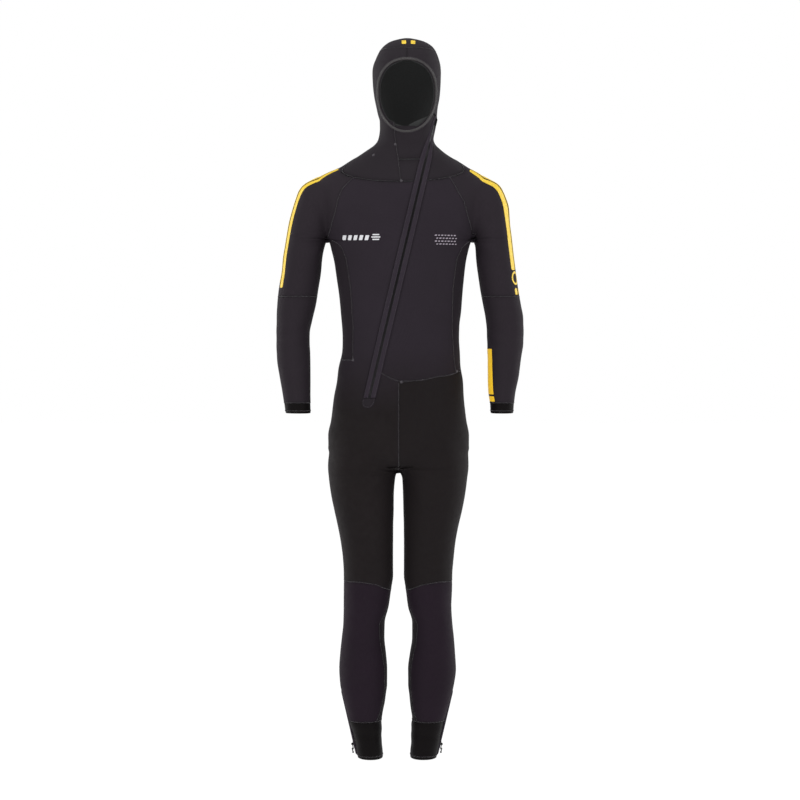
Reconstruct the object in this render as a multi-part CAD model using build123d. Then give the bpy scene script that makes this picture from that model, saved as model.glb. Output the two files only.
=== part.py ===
from build123d import *
import os
import numpy as np

# Hooded one-piece diving wetsuit, front diagonal zip, ankle zips.
# Millimetres, +Z up, -Y is the wearer's front, +X is the wearer's left.
# Origin: on the plane of the ankle hems, midway between the ankles.

# ---------------------------------------------------------------- driving dimensions
WALL = 5.0              # neoprene thickness of the body panels
CUFF_WALL = 3.0         # thin wrist and ankle seals
SEAM = 2.0              # clearance between neighbouring panels
HEIGHT = 1667.0         # ankle hem to top of hood
ARMPIT_Z = 1190.0       # height of the underarm point
COLLAR_Z = 1385.0       # collar seam height at the neck's side
COLLAR_TILT = 0.65      # rise of the collar seam per unit of depth
WAIST_Z = 875.0         # waist seam
CROTCH_Z = 672.0        # top of the gap between the legs
KNEE_SEAM_Z = 402.0     # seam between thigh and shin panels
ANKLE_CUFF_Z = 86.0     # top of the ankle seal
ELBOW_SEAM_Z = 1066.0   # seam between upper sleeve and forearm sleeve
WRIST_HEM_Z = 798.0     # wrist hem
WRIST_CUFF_Z = 822.0    # top of the wrist seal
SIDE_SEAM_X = 112.0     # half distance between the side panels' front seams
ZIP_TOP = (83.0, -40.0, 1481.0)     # front zip, upper end of the chain at the jaw
ZIP_BOTTOM = (-70.0, -102.0, 835.0) # front zip, lower end of the chain
ZIP_SAGITTA = 47.0      # how far the chain bows forward of its chord
TAPE_HALF = 14.5        # half width of the front zip with its tapes
CHAIN_HALF = 2.15       # half width of the closed chain
ANKLE_ZIP_LEN = 150.0   # length of the ankle zip chain

# ---------------------------------------------------------------- body sections
# rows: z, left edge x, right edge x, front y, back y
CORE = np.array([
    [676, -104, 98, -60, 66], [684, -128, 120, -80, 100], [700, -150, 144, -94, 116], [716, -166, 159, -101, 123], [745, -167, 160, -106, 124],
    [780, -160, 154, -108, 119], [835, -153, 148, -106, 105], [870, -146, 146, -107, 95], [905, -141, 141, -109, 86],
    [957, -132, 137, -112, 76], [996, -134, 137, -114, 74], [1030, -137, 141, -115, 76], [1070, -141, 144, -114, 81],
    [1107, -146, 148, -113, 87], [1144, -151, 153, -113, 94], [1180, -160, 160, -114, 100], [1205, -166, 166, -115, 105],
    [1235, -176, 177, -113, 109], [1272, -188, 190, -107, 112], [1300, -196, 199, -98, 113], [1320, -199, 203, -91, 112],
    [1337, -194, 200, -84, 110], [1351, -176, 186, -79, 107], [1365, -143, 161, -76, 103], [1379, -120, 139, -73, 98],
    [1393, -96, 114, -70, 92], [1407, -76, 95, -67, 85], [1420, -58, 81, -65, 80], [1430, -51, 78, -66, 77],
    [1444, -48, 80, -70, 76], [1460, -47, 83, -78, 80], [1474, -47, 85, -86, 88], [1488, -51, 86, -91, 96],
    [1502, -54, 87, -94, 102], [1532, -60, 92, -97, 109], [1560, -63, 94, -97, 112], [1589, -64, 95, -93, 110],
    [1603, -62, 94, -88, 107], [1616, -57, 91, -82, 101], [1630, -51, 86, -73, 93], [1644, -42, 78, -58, 80],
    [1657, -26, 60, -36, 58], [1664, -6, 38, -14, 34], [1667, 8, 24, -2, 18]], float)
LEG_R = np.array([
    [0, -99, -39, -43, 38], [15, -102, -39.5, -43, 39], [34, -105, -41.5, -44, 40], [52, -109, -42, -44, 41], [71, -116, -42, -45, 45],
    [89, -121, -42, -46, 50], [108, -125, -39, -47, 56], [126, -130, -35, -48, 63], [145, -134.5, -32.5, -49, 70], [164, -139, -30, -50, 76],
    [201, -141.5, -30, -52, 81], [238, -139, -32.5, -55, 77], [275, -135, -36, -58, 68], [312, -131, -35, -61, 60],
    [349, -130, -26, -65, 57], [386, -130, -21, -68, 58], [423, -130, -16, -71, 62], [461, -132, -16, -75, 67],
    [498, -137, -16, -79, 72], [535, -144, -16, -83, 77], [572, -152, -14.5, -86, 82], [609, -160, -14, -89, 88],
    [646, -165, -11, -92, 97], [672, -167, -6, -95, 106], [700, -166, -4, -98, 112], [740, -160, -10, -96, 108], [790, -140, -30, -80, 80]], float)
LEG_L = np.array([
    [0, 23, 86, -43, 38], [15, 23.5, 89, -43, 39], [34, 25.5, 93, -44, 40], [52, 25.5, 96, -44, 41], [71, 25.5, 100.5, -45, 45],
    [89, 28, 105, -46, 50], [108, 25.5, 111, -47, 56], [126, 23, 116, -48, 63], [145, 21, 121, -49, 70], [164, 18.6, 125, -50, 76],
    [201, 18.6, 130, -52, 81], [238, 23, 128, -55, 77], [275, 28, 125, -58, 68], [312, 28, 121, -61, 60],
    [349, 18.6, 119, -65, 57], [386, 14, 120.6, -68, 58], [423, 9, 121, -71, 62], [461, 9, 124, -75, 67],
    [498, 9, 128, -79, 72], [535, 9, 135, -83, 77], [572, 8, 144, -86, 82], [609, 7, 151, -89, 88],
    [646, 5, 156, -92, 97], [672, -1, 159, -95, 106], [700, -2, 159, -98, 112], [740, 6, 153, -96, 108], [790, 26, 134, -80, 80]], float)
ARM_R = np.array([
    [797, -263.5, -205, -66, 0], [827, -268, -206, -67, 6], [845, -271, -206.5, -67, 10], [882, -278, -206.5, -65, 18], [919, -284, -207, -60, 29],
    [957, -286.3, -209, -51, 40], [975, -286.8, -210, -48, 44], [1012, -286.8, -204, -45, 48], [1049, -285, -195, -45, 51],
    [1087, -281, -189, -47, 54], [1124, -274.5, -183, -49, 56], [1161, -271, -179, -51, 58], [1180, -267.5, -176, -52, 59],
    [1198, -264.5, -171, -53, 60], [1235, -258, -160, -54, 61], [1272, -248, -148, -52, 60], [1296, -241, -150, -48, 56],
    [1310, -236, -160, -43, 51], [1323, -227, -172, -34, 42], [1332, -216, -184, -22, 30]], float)
ARM_L = np.array([
    [797, 208, 261, -66, 0], [827, 206.5, 263.5, -67, 6], [845, 204, 266, -67, 10], [882, 203, 274, -65, 18], [919, 203, 279, -60, 29],
    [957, 202, 285.5, -51, 40], [975, 202, 286.8, -48, 44], [1012, 199.5, 286.8, -45, 48], [1049, 192.6, 280.7, -45, 51],
    [1087, 185.6, 274, -47, 54], [1124, 181, 269, -49, 56], [1161, 177, 264, -51, 58], [1180, 175, 262, -52, 59],
    [1198, 171, 260, -53, 60], [1235, 160, 255, -54, 61], [1272, 149, 253, -52, 60], [1296, 150, 246, -48, 56],
    [1310, 160, 240, -43, 51], [1323, 174, 232, -34, 42], [1332, 188, 221, -22, 30]], float)


def monotone(zs, ys, z):
    """Monotone cubic interpolation of ys at z, held constant past the ends."""
    h = np.diff(zs)
    d = np.diff(ys) / h
    m = np.zeros(len(zs))
    m[0], m[-1] = d[0], d[-1]
    for i in range(1, len(zs) - 1):
        if d[i - 1] * d[i] > 0:
            w1, w2 = 2 * h[i] + h[i - 1], h[i] + 2 * h[i - 1]
            m[i] = (w1 + w2) / (w1 / d[i - 1] + w2 / d[i])
    z = np.clip(z, zs[0], zs[-1])
    i = np.clip(np.searchsorted(zs, z) - 1, 0, len(zs) - 2)
    t = (z - zs[i]) / h[i]
    return ((2 * t**3 - 3 * t**2 + 1) * ys[i] + (t**3 - 2 * t**2 + t) * h[i] * m[i]
            + (-2 * t**3 + 3 * t**2) * ys[i + 1] + (t**3 - t**2) * h[i] * m[i + 1])


def tube(table, p, n):
    """Radial distance of p from a superelliptic tube."""
    z = p[:, 2]
    xl, xr, yf, yb = (monotone(table[:, 0], table[:, j], z) for j in (1, 2, 3, 4))
    cx, a = (xl + xr) / 2, (xr - xl) / 2
    cy, b = (yf + yb) / 2, (yb - yf) / 2
    dx, dy = p[:, 0] - cx, p[:, 1] - cy
    r = ((np.abs(dx) / a) ** n + (np.abs(dy) / b) ** n) ** (1 / n) + 1e-9
    return np.hypot(dx, dy) * (1 - 1 / r)


TUBES = {"core": (CORE, 2.25), "armr": (ARM_R, 2.1), "arml": (ARM_L, 2.1), "legr": (LEG_R, 2.15), "legl": (LEG_L, 2.15)}


def field(p, parts, k=16.0):
    p = np.atleast_2d(np.asarray(p, float))
    out = None
    for name in parts:
        table, n = TUBES[name]
        d = tube(table, p, n)
        lo, hi = table[0, 0] - 5, table[-1, 0] + (0 if name == "core" else 5)
        d = np.maximum(d, np.maximum(lo - p[:, 2], p[:, 2] - hi))
        if out is None:
            out = d
        else:
            h = np.clip(0.5 + 0.5 * (d - out) / k, 0, 1)
            out = d * (1 - h) + out * h - k * h * (1 - h)
    return out


def cast(o, d, parts, far=330.0):
    """Outermost surface point on the ray from o along d."""
    o, d = np.asarray(o, float), np.asarray(d, float)
    t = np.linspace(0, far, 120)
    f = field(o + t[:, None] * d, parts)
    inside = np.where(f < 0)[0]
    if len(inside) == 0:
        return o
    lo, hi = t[inside[-1]], t[min(inside[-1] + 1, len(t) - 1)]
    for _ in range(24):
        mid = (lo + hi) / 2
        if field(o + mid * d, parts)[0] < 0:
            lo = mid
        else:
            hi = mid
    return o + lo * d


def normal(p, parts, tilt=0.0):
    """Outward normal of the surface within the section plane."""
    e = 0.6
    gx = (field(p + [e, 0, 0], parts) - field(p - [e, 0, 0], parts))[0]
    gy = (field(p + [0, e, tilt * e], parts) - field(p - [0, e, tilt * e], parts))[0]
    v = np.array([gx, gy])
    v = v / (np.linalg.norm(v) + 1e-12)
    return np.array([v[0], v[1], tilt * v[1]])


def front_y(x, zc, tilt, parts, cy=0.0, sign=-1):
    """Surface point at x on the front (sign -1) or back (sign 1) in the plane z = zc + tilt*y."""
    return cast([x, cy, zc + tilt * cy], [0, sign, tilt * sign], parts)


def row(zc, tilt, origin, p0, p1, turn, parts, wall=WALL, n=9, inset=0.0):
    """Closed section of one panel: outer spline from p0 to p1 seen from origin, turning by the sign of turn, and its inner offset."""
    ox, oy = origin
    a0 = np.arctan2(p0[1] - oy, p0[0] - ox)
    a1 = np.arctan2(p1[1] - oy, p1[0] - ox)
    if turn > 0 and a1 <= a0:
        a1 += 2 * np.pi
    if turn < 0 and a1 >= a0:
        a1 -= 2 * np.pi
    outer, inner = [], []
    for a in np.linspace(a0, a1, n):
        d = np.array([np.cos(a), np.sin(a), tilt * np.sin(a)])
        q = cast([ox, oy, zc + tilt * oy], d, parts)
        nn = normal(q, parts, tilt)
        if "core" in parts:
            q = warp(q)
        outer.append(q - inset * nn)
        inner.append(q - (inset + wall) * nn)
    return outer, inner


def loft_rows(rows):
    """Panel solid: strips ruled between neighbouring rows, outside and inside, closed round the edge."""
    oe, ie = [], []
    for o, i in rows:
        oe.append(Edge.make_spline([Vector(*p) for p in o]))
        ie.append(Edge.make_spline([Vector(*p) for p in i]))
    faces = []
    for j in (0, -1):
        level = max(abs(p[2] - rows[j][0][0][2]) for p in rows[j][0] + rows[j][1]) < 1e-6
        ends = [Edge.make_line(oe[j].position_at(c), ie[j].position_at(c)) for c in (0, 1)]
        faces.append(Face(Wire([oe[j], ends[1], ie[j], ends[0]])) if level else Face.make_surface_from_curves(oe[j], ie[j]))
    for j in range(len(rows) - 1):
        faces.append(Face.make_surface_from_curves(oe[j], oe[j + 1]))
        faces.append(Face.make_surface_from_curves(ie[j], ie[j + 1]))
        for c in (0, 1):
            faces.append(Face.make_surface_from_curves(
                Edge.make_line(oe[j].position_at(c), oe[j + 1].position_at(c)),
                Edge.make_line(ie[j].position_at(c), ie[j + 1].position_at(c))))
    return Solid(Shell(faces))


def prism_box(x0, x1, y0, y1, z0, z1):
    return Pos((x0 + x1) / 2, (y0 + y1) / 2, (z0 + z1) / 2) * Box(x1 - x0, y1 - y0, z1 - z0)


def clean_solid(s):
    if isinstance(s, Solid):
        return s
    solids = s.solids()
    return max(solids, key=lambda q: q.volume)


PARTS = {}


def keep(name, shape):
    PARTS[name] = shape


# ---------------------------------------------------------------- front zip arc
T0, T1 = np.array(ZIP_TOP), np.array(ZIP_BOTTOM)
CH = T1 - T0
LEN = np.linalg.norm(CH)
CH = CH / LEN
LAT = np.array([-CH[2], 0, CH[0]])
LAT = LAT / np.linalg.norm(LAT)          # lateral direction of the zip, towards the wearer's left
LAT = LAT if LAT[0] > 0 else -LAT
NRM = np.cross(CH, LAT)
NRM = NRM if NRM[1] < 0 else -NRM        # outward direction at the middle of the zip
H = LEN / 2
RAD = (H * H + ZIP_SAGITTA**2) / (2 * ZIP_SAGITTA)
HALF = np.arcsin(H / RAD)
CEN = (T0 + T1) / 2 + NRM * (ZIP_SAGITTA - RAD)
AXIS = np.cross(NRM, CH)                 # turning about this carries the slider from the jaw to the belly


def zip_point(phi, lift=0.0, s=0.0):
    return CEN + (RAD + lift) * (NRM * np.cos(phi) + CH * np.sin(phi)) + LAT * s


def zip_x(z, s=0.0):
    phis = np.linspace(-HALF, HALF, 200)
    pts = np.array([zip_point(f, 0, s) for f in phis])
    order = np.argsort(pts[:, 2])
    return float(np.interp(z, pts[order, 2], pts[order, 0])) if z > pts[-1, 2] else float(pts[-1, 0])


def zip_y(z):
    pts = np.array([zip_point(f) for f in np.linspace(-HALF, HALF, 200)])
    order = np.argsort(pts[:, 2])
    return float(np.interp(z, pts[order, 2], pts[order, 1]))


ZW = np.linspace(800, 1500, 36)
DELTA = None


def warp(q):
    """Draws the front of the body to the zip's arc near the zip."""
    global DELTA
    if DELTA is None:
        vals = []
        for z in ZW:
            zc = min(max(z, ZIP_BOTTOM[2]), ZIP_TOP[2])
            x = zip_x(zc)
            vals.append(zip_y(zc) - cast([x, 8, zc], [0, -1, 0], ("core",))[1])
        DELTA = np.array(vals)
    if q[1] > -2 or q[2] < 780 or q[2] > 1530:
        return q
    z = q[2]
    d = float(np.interp(z, ZW, DELTA))
    fade = min(1.0, (z - 780) / 55.0) * min(1.0, (1530 - z) / 50.0)
    x = zip_x(min(max(z, ZIP_BOTTOM[2]), ZIP_TOP[2]))
    g = np.exp(-((q[0] - x) / 60.0) ** 2) * min(1.0, (-q[1] - 2) / 30.0) * fade
    return q + np.array([0, d * g, 0])


def revolved(profile, a0, a1):
    """Solid swept around the far zip axis from angle a0 to a1; profile lists (lateral, lift) corners."""
    pts = [Vector(*zip_point(a0, l, s)) for s, l in profile]
    w = Wire.make_polygon(pts, close=True)
    return Solid.revolve(Face(w), float(np.degrees(a1 - a0)), Axis(tuple(CEN), tuple(AXIS)))


def local(phi, lift=0.0):
    """Plane whose x is the zip's lateral direction and z its outward normal, at angle phi of the arc."""
    nn = NRM * np.cos(phi) + CH * np.sin(phi)
    return Plane(origin=tuple(zip_point(phi, lift)), x_dir=tuple(LAT), z_dir=tuple(nn))

# ---------------------------------------------------------------- seam curves
RAGLAN_R = np.array([[1190, -160], [1207, -160], [1263, -147], [1291, -141], [1314, -131], [1340, -105], [1370, -74], [1391, -60], [1410, -52]], float)
RAGLAN_L = np.array([[1190, 163], [1228, 162], [1251, 155], [1284, 146], [1307, 132], [1333, 118], [1361, 100], [1391, 88], [1410, 80]], float)
SIDE_R = np.array([[885, -111], [921, -108], [996, -107], [1085, -111], [1152, -123], [1185, -136]], float)
SIDE_L = np.array([[885, 130], [921, 124], [996, 119], [1085, 121], [1152, 129], [1185, 140]], float)


def seam_x(tab, z):
    return float(np.interp(z, tab[:, 0], tab[:, 1]))


def tilt_at(z):
    """Section planes are level up to the armpit and tilt to match the collar seam above it."""
    return float(np.interp(z, [1190, 1385, 1400, 1450], [0, COLLAR_TILT, COLLAR_TILT, 0]))


def seam_point(tab, zc, tilt, parts, sign=-1, gap=0.0):
    x = seam_x(tab, zc - 50 * tilt * (1 if sign < 0 else -1)) + gap
    return front_y(x, zc, tilt, parts, sign=sign)


UP = ("core", "armr", "arml")
TORSO_Z = [839, 885, 940, 1000, 1060, 1120, 1170, 1190]
SHOULDER_Z = [1215, 1250, 1285, 1315, 1345, 1368, 1384]


def torso_parts(z):
    return UP if z > 1230 else ("core",)


# ---------------------------------------------------------------- front and back panels of the torso
def front_panel(side):
    rows = []
    zs = (list(TORSO_Z) if side < 0 else TORSO_Z[1:]) + SHOULDER_Z
    if side < 0:
        zs[0] = ZIP_BOTTOM[2] + 4
    for z in zs:
        k = tilt_at(z)
        pr = torso_parts(z)
        zz = z + k * (-95)
        zx = zip_x(z + k * zip_y(zz), side * (TAPE_HALF + SEAM + 1)) if z > ZIP_BOTTOM[2] else ZIP_BOTTOM[0]
        p0 = front_y(zx, z, k, pr)
        if z < 1189:
            tab = SIDE_R if side < 0 else SIDE_L
        else:
            tab = RAGLAN_R if side < 0 else RAGLAN_L
        if z < 900 and side < 0:
            tab = SIDE_R
        p1 = seam_point(tab, z, k, pr, gap=-side * SEAM)
        rows.append(row(z, k, (5, 8), p0, p1, side, pr, n=8))
    return loft_rows(rows)


def side_panel(side):
    tab = SIDE_R if side < 0 else SIDE_L
    rows = []
    for z in [885, 940, 1000, 1060, 1120, 1166]:
        x = seam_x(tab, z) + side * SEAM
        p0 = front_y(x, z, 0, ("core",))
        p1 = front_y(x, z, 0, ("core",), sign=1)
        rows.append(row(z, 0, (0, -5), p0, p1, side, ("core",), n=8))
    return loft_rows(rows)


def back_panel():
    rows = []
    for z in [885, 940, 1000, 1060, 1120, 1170, 1190] + SHOULDER_Z:
        k = tilt_at(z)
        pr = torso_parts(z)
        ta, tb = (SIDE_R, SIDE_L) if z < 1189 else (RAGLAN_R, RAGLAN_L)
        p0 = seam_point(ta, z, k, pr, sign=1, gap=SEAM)
        p1 = seam_point(tb, z, k, pr, sign=1, gap=-SEAM)
        rows.append(row(z, k, (5, -5), p0, p1, -1, pr, n=13))
    return loft_rows(rows)


keep("front_panel_right", front_panel(-1))
keep("front_panel_left", front_panel(1))
keep("side_panel_right", side_panel(-1))
keep("side_panel_left", side_panel(1))
keep("back_panel", back_panel())


# ---------------------------------------------------------------- sleeves
def upper_sleeve(side):
    arm = "armr" if side < 0 else "arml"
    tab = RAGLAN_R if side < 0 else RAGLAN_L
    table = TUBES[arm][0]
    rows = []
    spec = [(1384, -22), (1368, -60), (1345, -95), (1315, -130), (1285, -142), (1250, -155), (1215, -163)]
    for z, ox in spec:
        k = tilt_at(z)
        ox = ox if side < 0 else -ox - 2
        p0 = seam_point(tab, z, k, UP, gap=side * SEAM)
        p1 = seam_point(tab, z, k, UP, sign=1, gap=side * SEAM)
        rows.append(row(z, k, (ox, 5), p0, p1, side, UP, n=9))
    for z, half in ((1198, 66), (1185, 42), (1155, 9), (1125, 2.0), (1095, 1.6), (ELBOW_SEAM_Z + SEAM / 2, 1.6)):
        xl, xr, yf, yb = (monotone(table[:, 0], table[:, j], np.array([float(z)]))[0] for j in (1, 2, 3, 4))
        cx, cy = (xl + xr) / 2, (yf + yb) / 2
        base = 0.0 if side < 0 else np.pi
        a0, a1 = base + side * np.radians(half), base - side * np.radians(half)
        p0 = (cx + np.cos(a0), cy + np.sin(a0))
        p1 = (cx + np.cos(a1), cy + np.sin(a1))
        rows.append(row(z, 0, (cx, cy), p0, p1, side, (arm,), n=9))
    return loft_rows(rows)


def ring_rows(part, zs, wall, seam_angle=None, gap_deg=1.6, inset=0.0, n=13):
    """Nearly closed tube sections with one butt seam at seam_angle."""
    table = TUBES[part][0]
    rows = []
    for z in zs:
        xl, xr, yf, yb = (monotone(table[:, 0], table[:, j], np.array([float(z)]))[0] for j in (1, 2, 3, 4))
        cx, cy = (xl + xr) / 2, (yf + yb) / 2
        g = gap_deg(z) if callable(gap_deg) else gap_deg
        a0, a1 = seam_angle + np.radians(g), seam_angle - np.radians(g)
        p0 = (cx + np.cos(a0), cy + np.sin(a0))
        p1 = (cx + np.cos(a1), cy + np.sin(a1))
        rows.append(row(z, 0, (cx, cy), p0, p1, 1, (part,), wall=wall, n=n, inset=inset))
    return rows


def half_rows(part, zs, a_from, a_to, wall=WALL, gap=SEAM, n=9):
    """Part of a tube between two directions, measured about the tube's own centre, turning positively."""
    table = TUBES[part][0]
    rows = []
    for z in zs:
        xl, xr, yf, yb = (monotone(table[:, 0], table[:, j], np.array([float(z)]))[0] for j in (1, 2, 3, 4))
        cx, cy = (xl + xr) / 2, (yf + yb) / 2
        r = (xr - xl) / 2
        f0 = a_from(z) if callable(a_from) else a_from
        f1 = a_to(z) if callable(a_to) else a_to
        a0, a1 = f0 + gap / 2 / r * 1.3, f1 - gap / 2 / r * 1.3
        p0 = (cx + np.cos(a0), cy + np.sin(a0))
        p1 = (cx + np.cos(a1), cy + np.sin(a1))
        rows.append(row(z, 0, (cx, cy), p0, p1, 1, (part,), wall=wall, n=n))
    return rows


for side, tag in ((-1, "right"), (1, "left")):
    arm = "armr" if side < 0 else "arml"
    inner = 0.0 if side < 0 else np.pi
    keep("upper_sleeve_" + tag, upper_sleeve(side))
    keep("forearm_sleeve_" + tag, loft_rows(ring_rows(arm, [WRIST_CUFF_Z + SEAM, 850, 890, 930, 970, 1010, 1045, ELBOW_SEAM_Z - SEAM / 2], WALL, inner)))
    keep("wrist_cuff_" + tag, loft_rows(ring_rows(arm, [WRIST_HEM_Z, 810, WRIST_CUFF_Z], CUFF_WALL, inner, inset=0.6)))

# ---------------------------------------------------------------- pelvis, thighs, shins
HIP = ("core", "legr", "legl")


def leg_upper(side, sign, top):
    """Front (sign -1) or back (sign 1) panel from the waist to the knee seam."""
    leg = "legr" if side < 0 else "legl"
    table = TUBES[leg][0]
    rows = []
    zs = [t for t in (top, 850, 810, 770, 735, 705) if t <= top]
    for z in zs:
        pr = HIP if z < 790 else ("core",)
        ox = side * 78.0
        pc = front_y(side * SEAM - (4 if sign > 0 else 0) * 0, z, 0, pr, sign=sign)
        ang = np.pi if side < 0 else 0.0
        off = SEAM / 2 / 80 * (1 if sign < 0 else -1) * (1 if side < 0 else -1)
        po = (ox + np.cos(ang + off), 5 + np.sin(ang + off))
        if sign < 0:
            turn = -1 if side < 0 else 1
        else:
            turn = 1 if side < 0 else -1
        rows.append(row(z, 0, (ox, 5), pc, po, turn, pr, n=9))
    for z in (688, 676):
        # round the crotch: the centre seam runs down to the gusset
        ox = side * 78.0
        pc = front_y(side * SEAM, z, 0, HIP, sign=sign)
        turn = (-1 if side < 0 else 1) * (1 if sign < 0 else -1)
        ang = np.pi if side < 0 else 0.0
        off = SEAM / 2 / 80 * (1 if sign < 0 else -1) * (1 if side < 0 else -1)
        po = (ox + np.cos(ang + off), 5 + np.sin(ang + off))
        rows.append(row(z, 0, (ox, 5), pc, po, turn, HIP, n=9))
    for z, open_angle in ((662, 0.95), (640, 0.42), (610, 0.12), (570, 0.02), (520, 0.0), (460, 0.0), (KNEE_SEAM_Z + SEAM / 2, 0.0)):
        xl, xr, yf, yb = (monotone(table[:, 0], table[:, j], np.array([float(z)]))[0] for j in (1, 2, 3, 4))
        cx, cy = (xl + xr) / 2, (yf + yb) / 2
        r = (xr - xl) / 2
        e = SEAM / 2 / r * 1.3
        ang_in, ang_out = (0.0, np.pi) if side < 0 else (np.pi, 0.0)
        turn = (-1 if side < 0 else 1) * (1 if sign < 0 else -1)
        a0 = ang_in + turn * (e + open_angle)
        a1 = ang_out - turn * e
        p0 = (cx + np.cos(a0), cy + np.sin(a0))
        p1 = (cx + np.cos(a1), cy + np.sin(a1))
        rows.append(row(z, 0, (cx, cy), p0, p1, turn, (leg,), n=9))
    return loft_rows(rows)


ZIP_GAP = 16.0   # half width left open for the ankle zip


def zip_open(z, r=36.0):
    """Half angle kept clear for the ankle zip at height z."""
    return ZIP_GAP / r if z < ANKLE_ZIP_LEN + 10 else 0.0


for side, tag in ((-1, "right"), (1, "left")):
    leg = "legr" if side < 0 else "legl"
    keep("thigh_front_" + tag, leg_upper(side, -1, ZIP_BOTTOM[2] - 22 if side < 0 else 885 - SEAM))
    keep("thigh_back_" + tag, leg_upper(side, 1, 885 - SEAM))
    shin_z = [ANKLE_CUFF_Z + SEAM, 120, 155, 162, 200, 240, 280, 320, 360, KNEE_SEAM_Z - SEAM / 2]
    width = lambda z, t=TUBES[leg][0]: (monotone(t[:, 0], t[:, 2] - t[:, 1], np.array([float(z)]))[0]) / 2
    openz = lambda z: (np.arcsin(min(0.9, ZIP_GAP / width(z))) if z <= 156 else (0.0 if z > 175 else np.arcsin(min(0.9, ZIP_GAP / width(z)))))
    if side < 0:
        # the outer side is the direction pi, the inner side the direction 0
        keep("shin_panel_right", loft_rows(half_rows(leg, shin_z, lambda z: np.pi + openz(z), 2 * np.pi)))
        keep("calf_panel_right", loft_rows(half_rows(leg, shin_z, 0.0, lambda z: np.pi - openz(z))))
        keep("ankle_cuff_right", loft_rows(ring_rows(leg, [0, 30, 60, ANKLE_CUFF_Z], CUFF_WALL, np.pi, lambda z: np.degrees(openz(z)), inset=0.6)))
    else:
        keep("shin_panel_left", loft_rows(half_rows(leg, shin_z, np.pi, lambda z: 2 * np.pi - openz(z))))
        keep("calf_panel_left", loft_rows(half_rows(leg, shin_z, lambda z: openz(z), np.pi)))
        keep("ankle_cuff_left", loft_rows(ring_rows(leg, [0, 30, 60, ANKLE_CUFF_Z], CUFF_WALL, 0.0, lambda z: np.degrees(openz(z)), inset=0.6)))

# the front right panel runs on below the zip's end and up beside it, to the centre seam
gore = []
for z in (ZIP_BOTTOM[2] - 22, 850, 885 - SEAM):
    zx = zip_x(max(z, ZIP_BOTTOM[2]), TAPE_HALF + SEAM + 1)
    gore.append(row(z, 0, (-30, 8), front_y(zx, z, 0, ("core",)), front_y(-SEAM, z, 0, ("core",)), 1, ("core",), n=6))
keep("thigh_front_right", clean_solid(PARTS["thigh_front_right"] + loft_rows(gore)))

# crotch gusset: a lens-shaped pad that joins the four leg panels under the body
g = Pos(-3, 8, CROTCH_Z + 6) * Box(20, 60, 3)
keep("crotch_gusset", clean_solid(fillet(g.edges().filter_by(Axis.Z), 9.0)))

# ---------------------------------------------------------------- neck and hood
THROAT = np.array([[1328, 2], [1370, -3], [1414, -9], [1442, -13], [1460, -20]], float)
FACE_C = (16.0, 1534.0)      # middle of the face opening
FACE_HALF = (64.0, 79.5)     # its half width and half height
CROWN_Z = 1637.0             # front edge of the crown panel
NAPE_HALF = 38.0             # half width of the strip down the nape


def face_x(z, side):
    """Edge of the face opening: an egg, narrower at the chin."""
    t = np.clip((z - FACE_C[1]) / FACE_HALF[1], -1, 1)
    half = FACE_HALF[0] * np.sqrt(max(0.0, 1 - abs(t) ** 2.15)) * (1 + 0.10 * t)
    return FACE_C[0] + side * half


def hood_side(side):
    rows = []
    for z in [1388, 1400, 1420, 1440, 1456, 1480, 1510, 1545, 1580, 1600, 1618, CROWN_Z - SEAM]:
        k = tilt_at(z)
        if z < 1450:
            if side < 0:
                x0 = seam_x(THROAT, z - 70 * k) - SEAM
            else:
                x0 = min(zip_x(z - 70 * k, TAPE_HALF + SEAM), float(monotone(CORE[:, 0], CORE[:, 2], np.array([z - 50 * k]))[0]) - 1.5)
        elif z < 1613:
            x0 = face_x(z, side) + side * 9.5
            x0 = np.clip(x0, -52, 86)
            if side > 0 and z < 1500:
                x0 = float(monotone(CORE[:, 0], CORE[:, 2], np.array([float(z)]))[0]) - 0.8
            if side < 0 and z < 1470:
                x0 = seam_x(THROAT, z) - SEAM
        else:
            x0 = FACE_C[0] + side * (14 if z < 1630 else 5)
        p0 = front_y(x0, z, k, ("core",), cy=8)
        p1 = front_y(16 + side * (NAPE_HALF + SEAM), z, k, ("core",), cy=8, sign=1)
        rows.append(row(z, k, (16, 8), p0, p1, side, ("core",), n=9))
    return loft_rows(rows)


keep("hood_side_right", hood_side(-1))
keep("hood_side_left", hood_side(1))

throat = []
for z in (1388, 1400, 1414 - SEAM):
    k = tilt_at(z)
    p0 = front_y(seam_x(THROAT, z - 70 * k) + SEAM, z, k, ("core",), cy=8)
    p1 = front_y(min(zip_x(z - 66 * k, -TAPE_HALF - SEAM - 2), 50), z, k, ("core",), cy=8)
    throat.append(row(z, k, (16, 8), p0, p1, 1, ("core",), n=7))
keep("throat_panel", loft_rows(throat))
chin = []
for z in (1414 + SEAM, 1430, 1444):
    k = tilt_at(z)
    p0 = front_y(seam_x(THROAT, z - 70 * k) + SEAM, z, k, ("core",), cy=8)
    p1 = front_y(min(zip_x(z - 60 * k, -TAPE_HALF - SEAM), 50), z, k, ("core",), cy=8)
    chin.append(row(z, k, (16, 8), p0, p1, 1, ("core",), n=7))
keep("chin_panel", loft_rows(chin))

# crown panel: dome over the top, and the strip that runs on from it down the nape
def dome(inset):
    ws = []
    for z in (CROWN_Z, 1644, 1650, 1656, 1661, 1664.5):
        zz = z + (0 if inset == 0 else inset * 0.9)
        pts = []
        for a in np.linspace(0, 2 * np.pi, 17)[:-1]:
            q = cast([16, 9, min(zz, 1666.5)], [np.cos(a), np.sin(a), 0], ("core",))
            nn = normal(q, ("core",))
            q = q - inset * nn
            pts.append(Vector(q[0], q[1], z))
        ws.append(Wire([Edge.make_spline(pts, periodic=True)]))
    return Solid.make_loft(ws)


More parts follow.
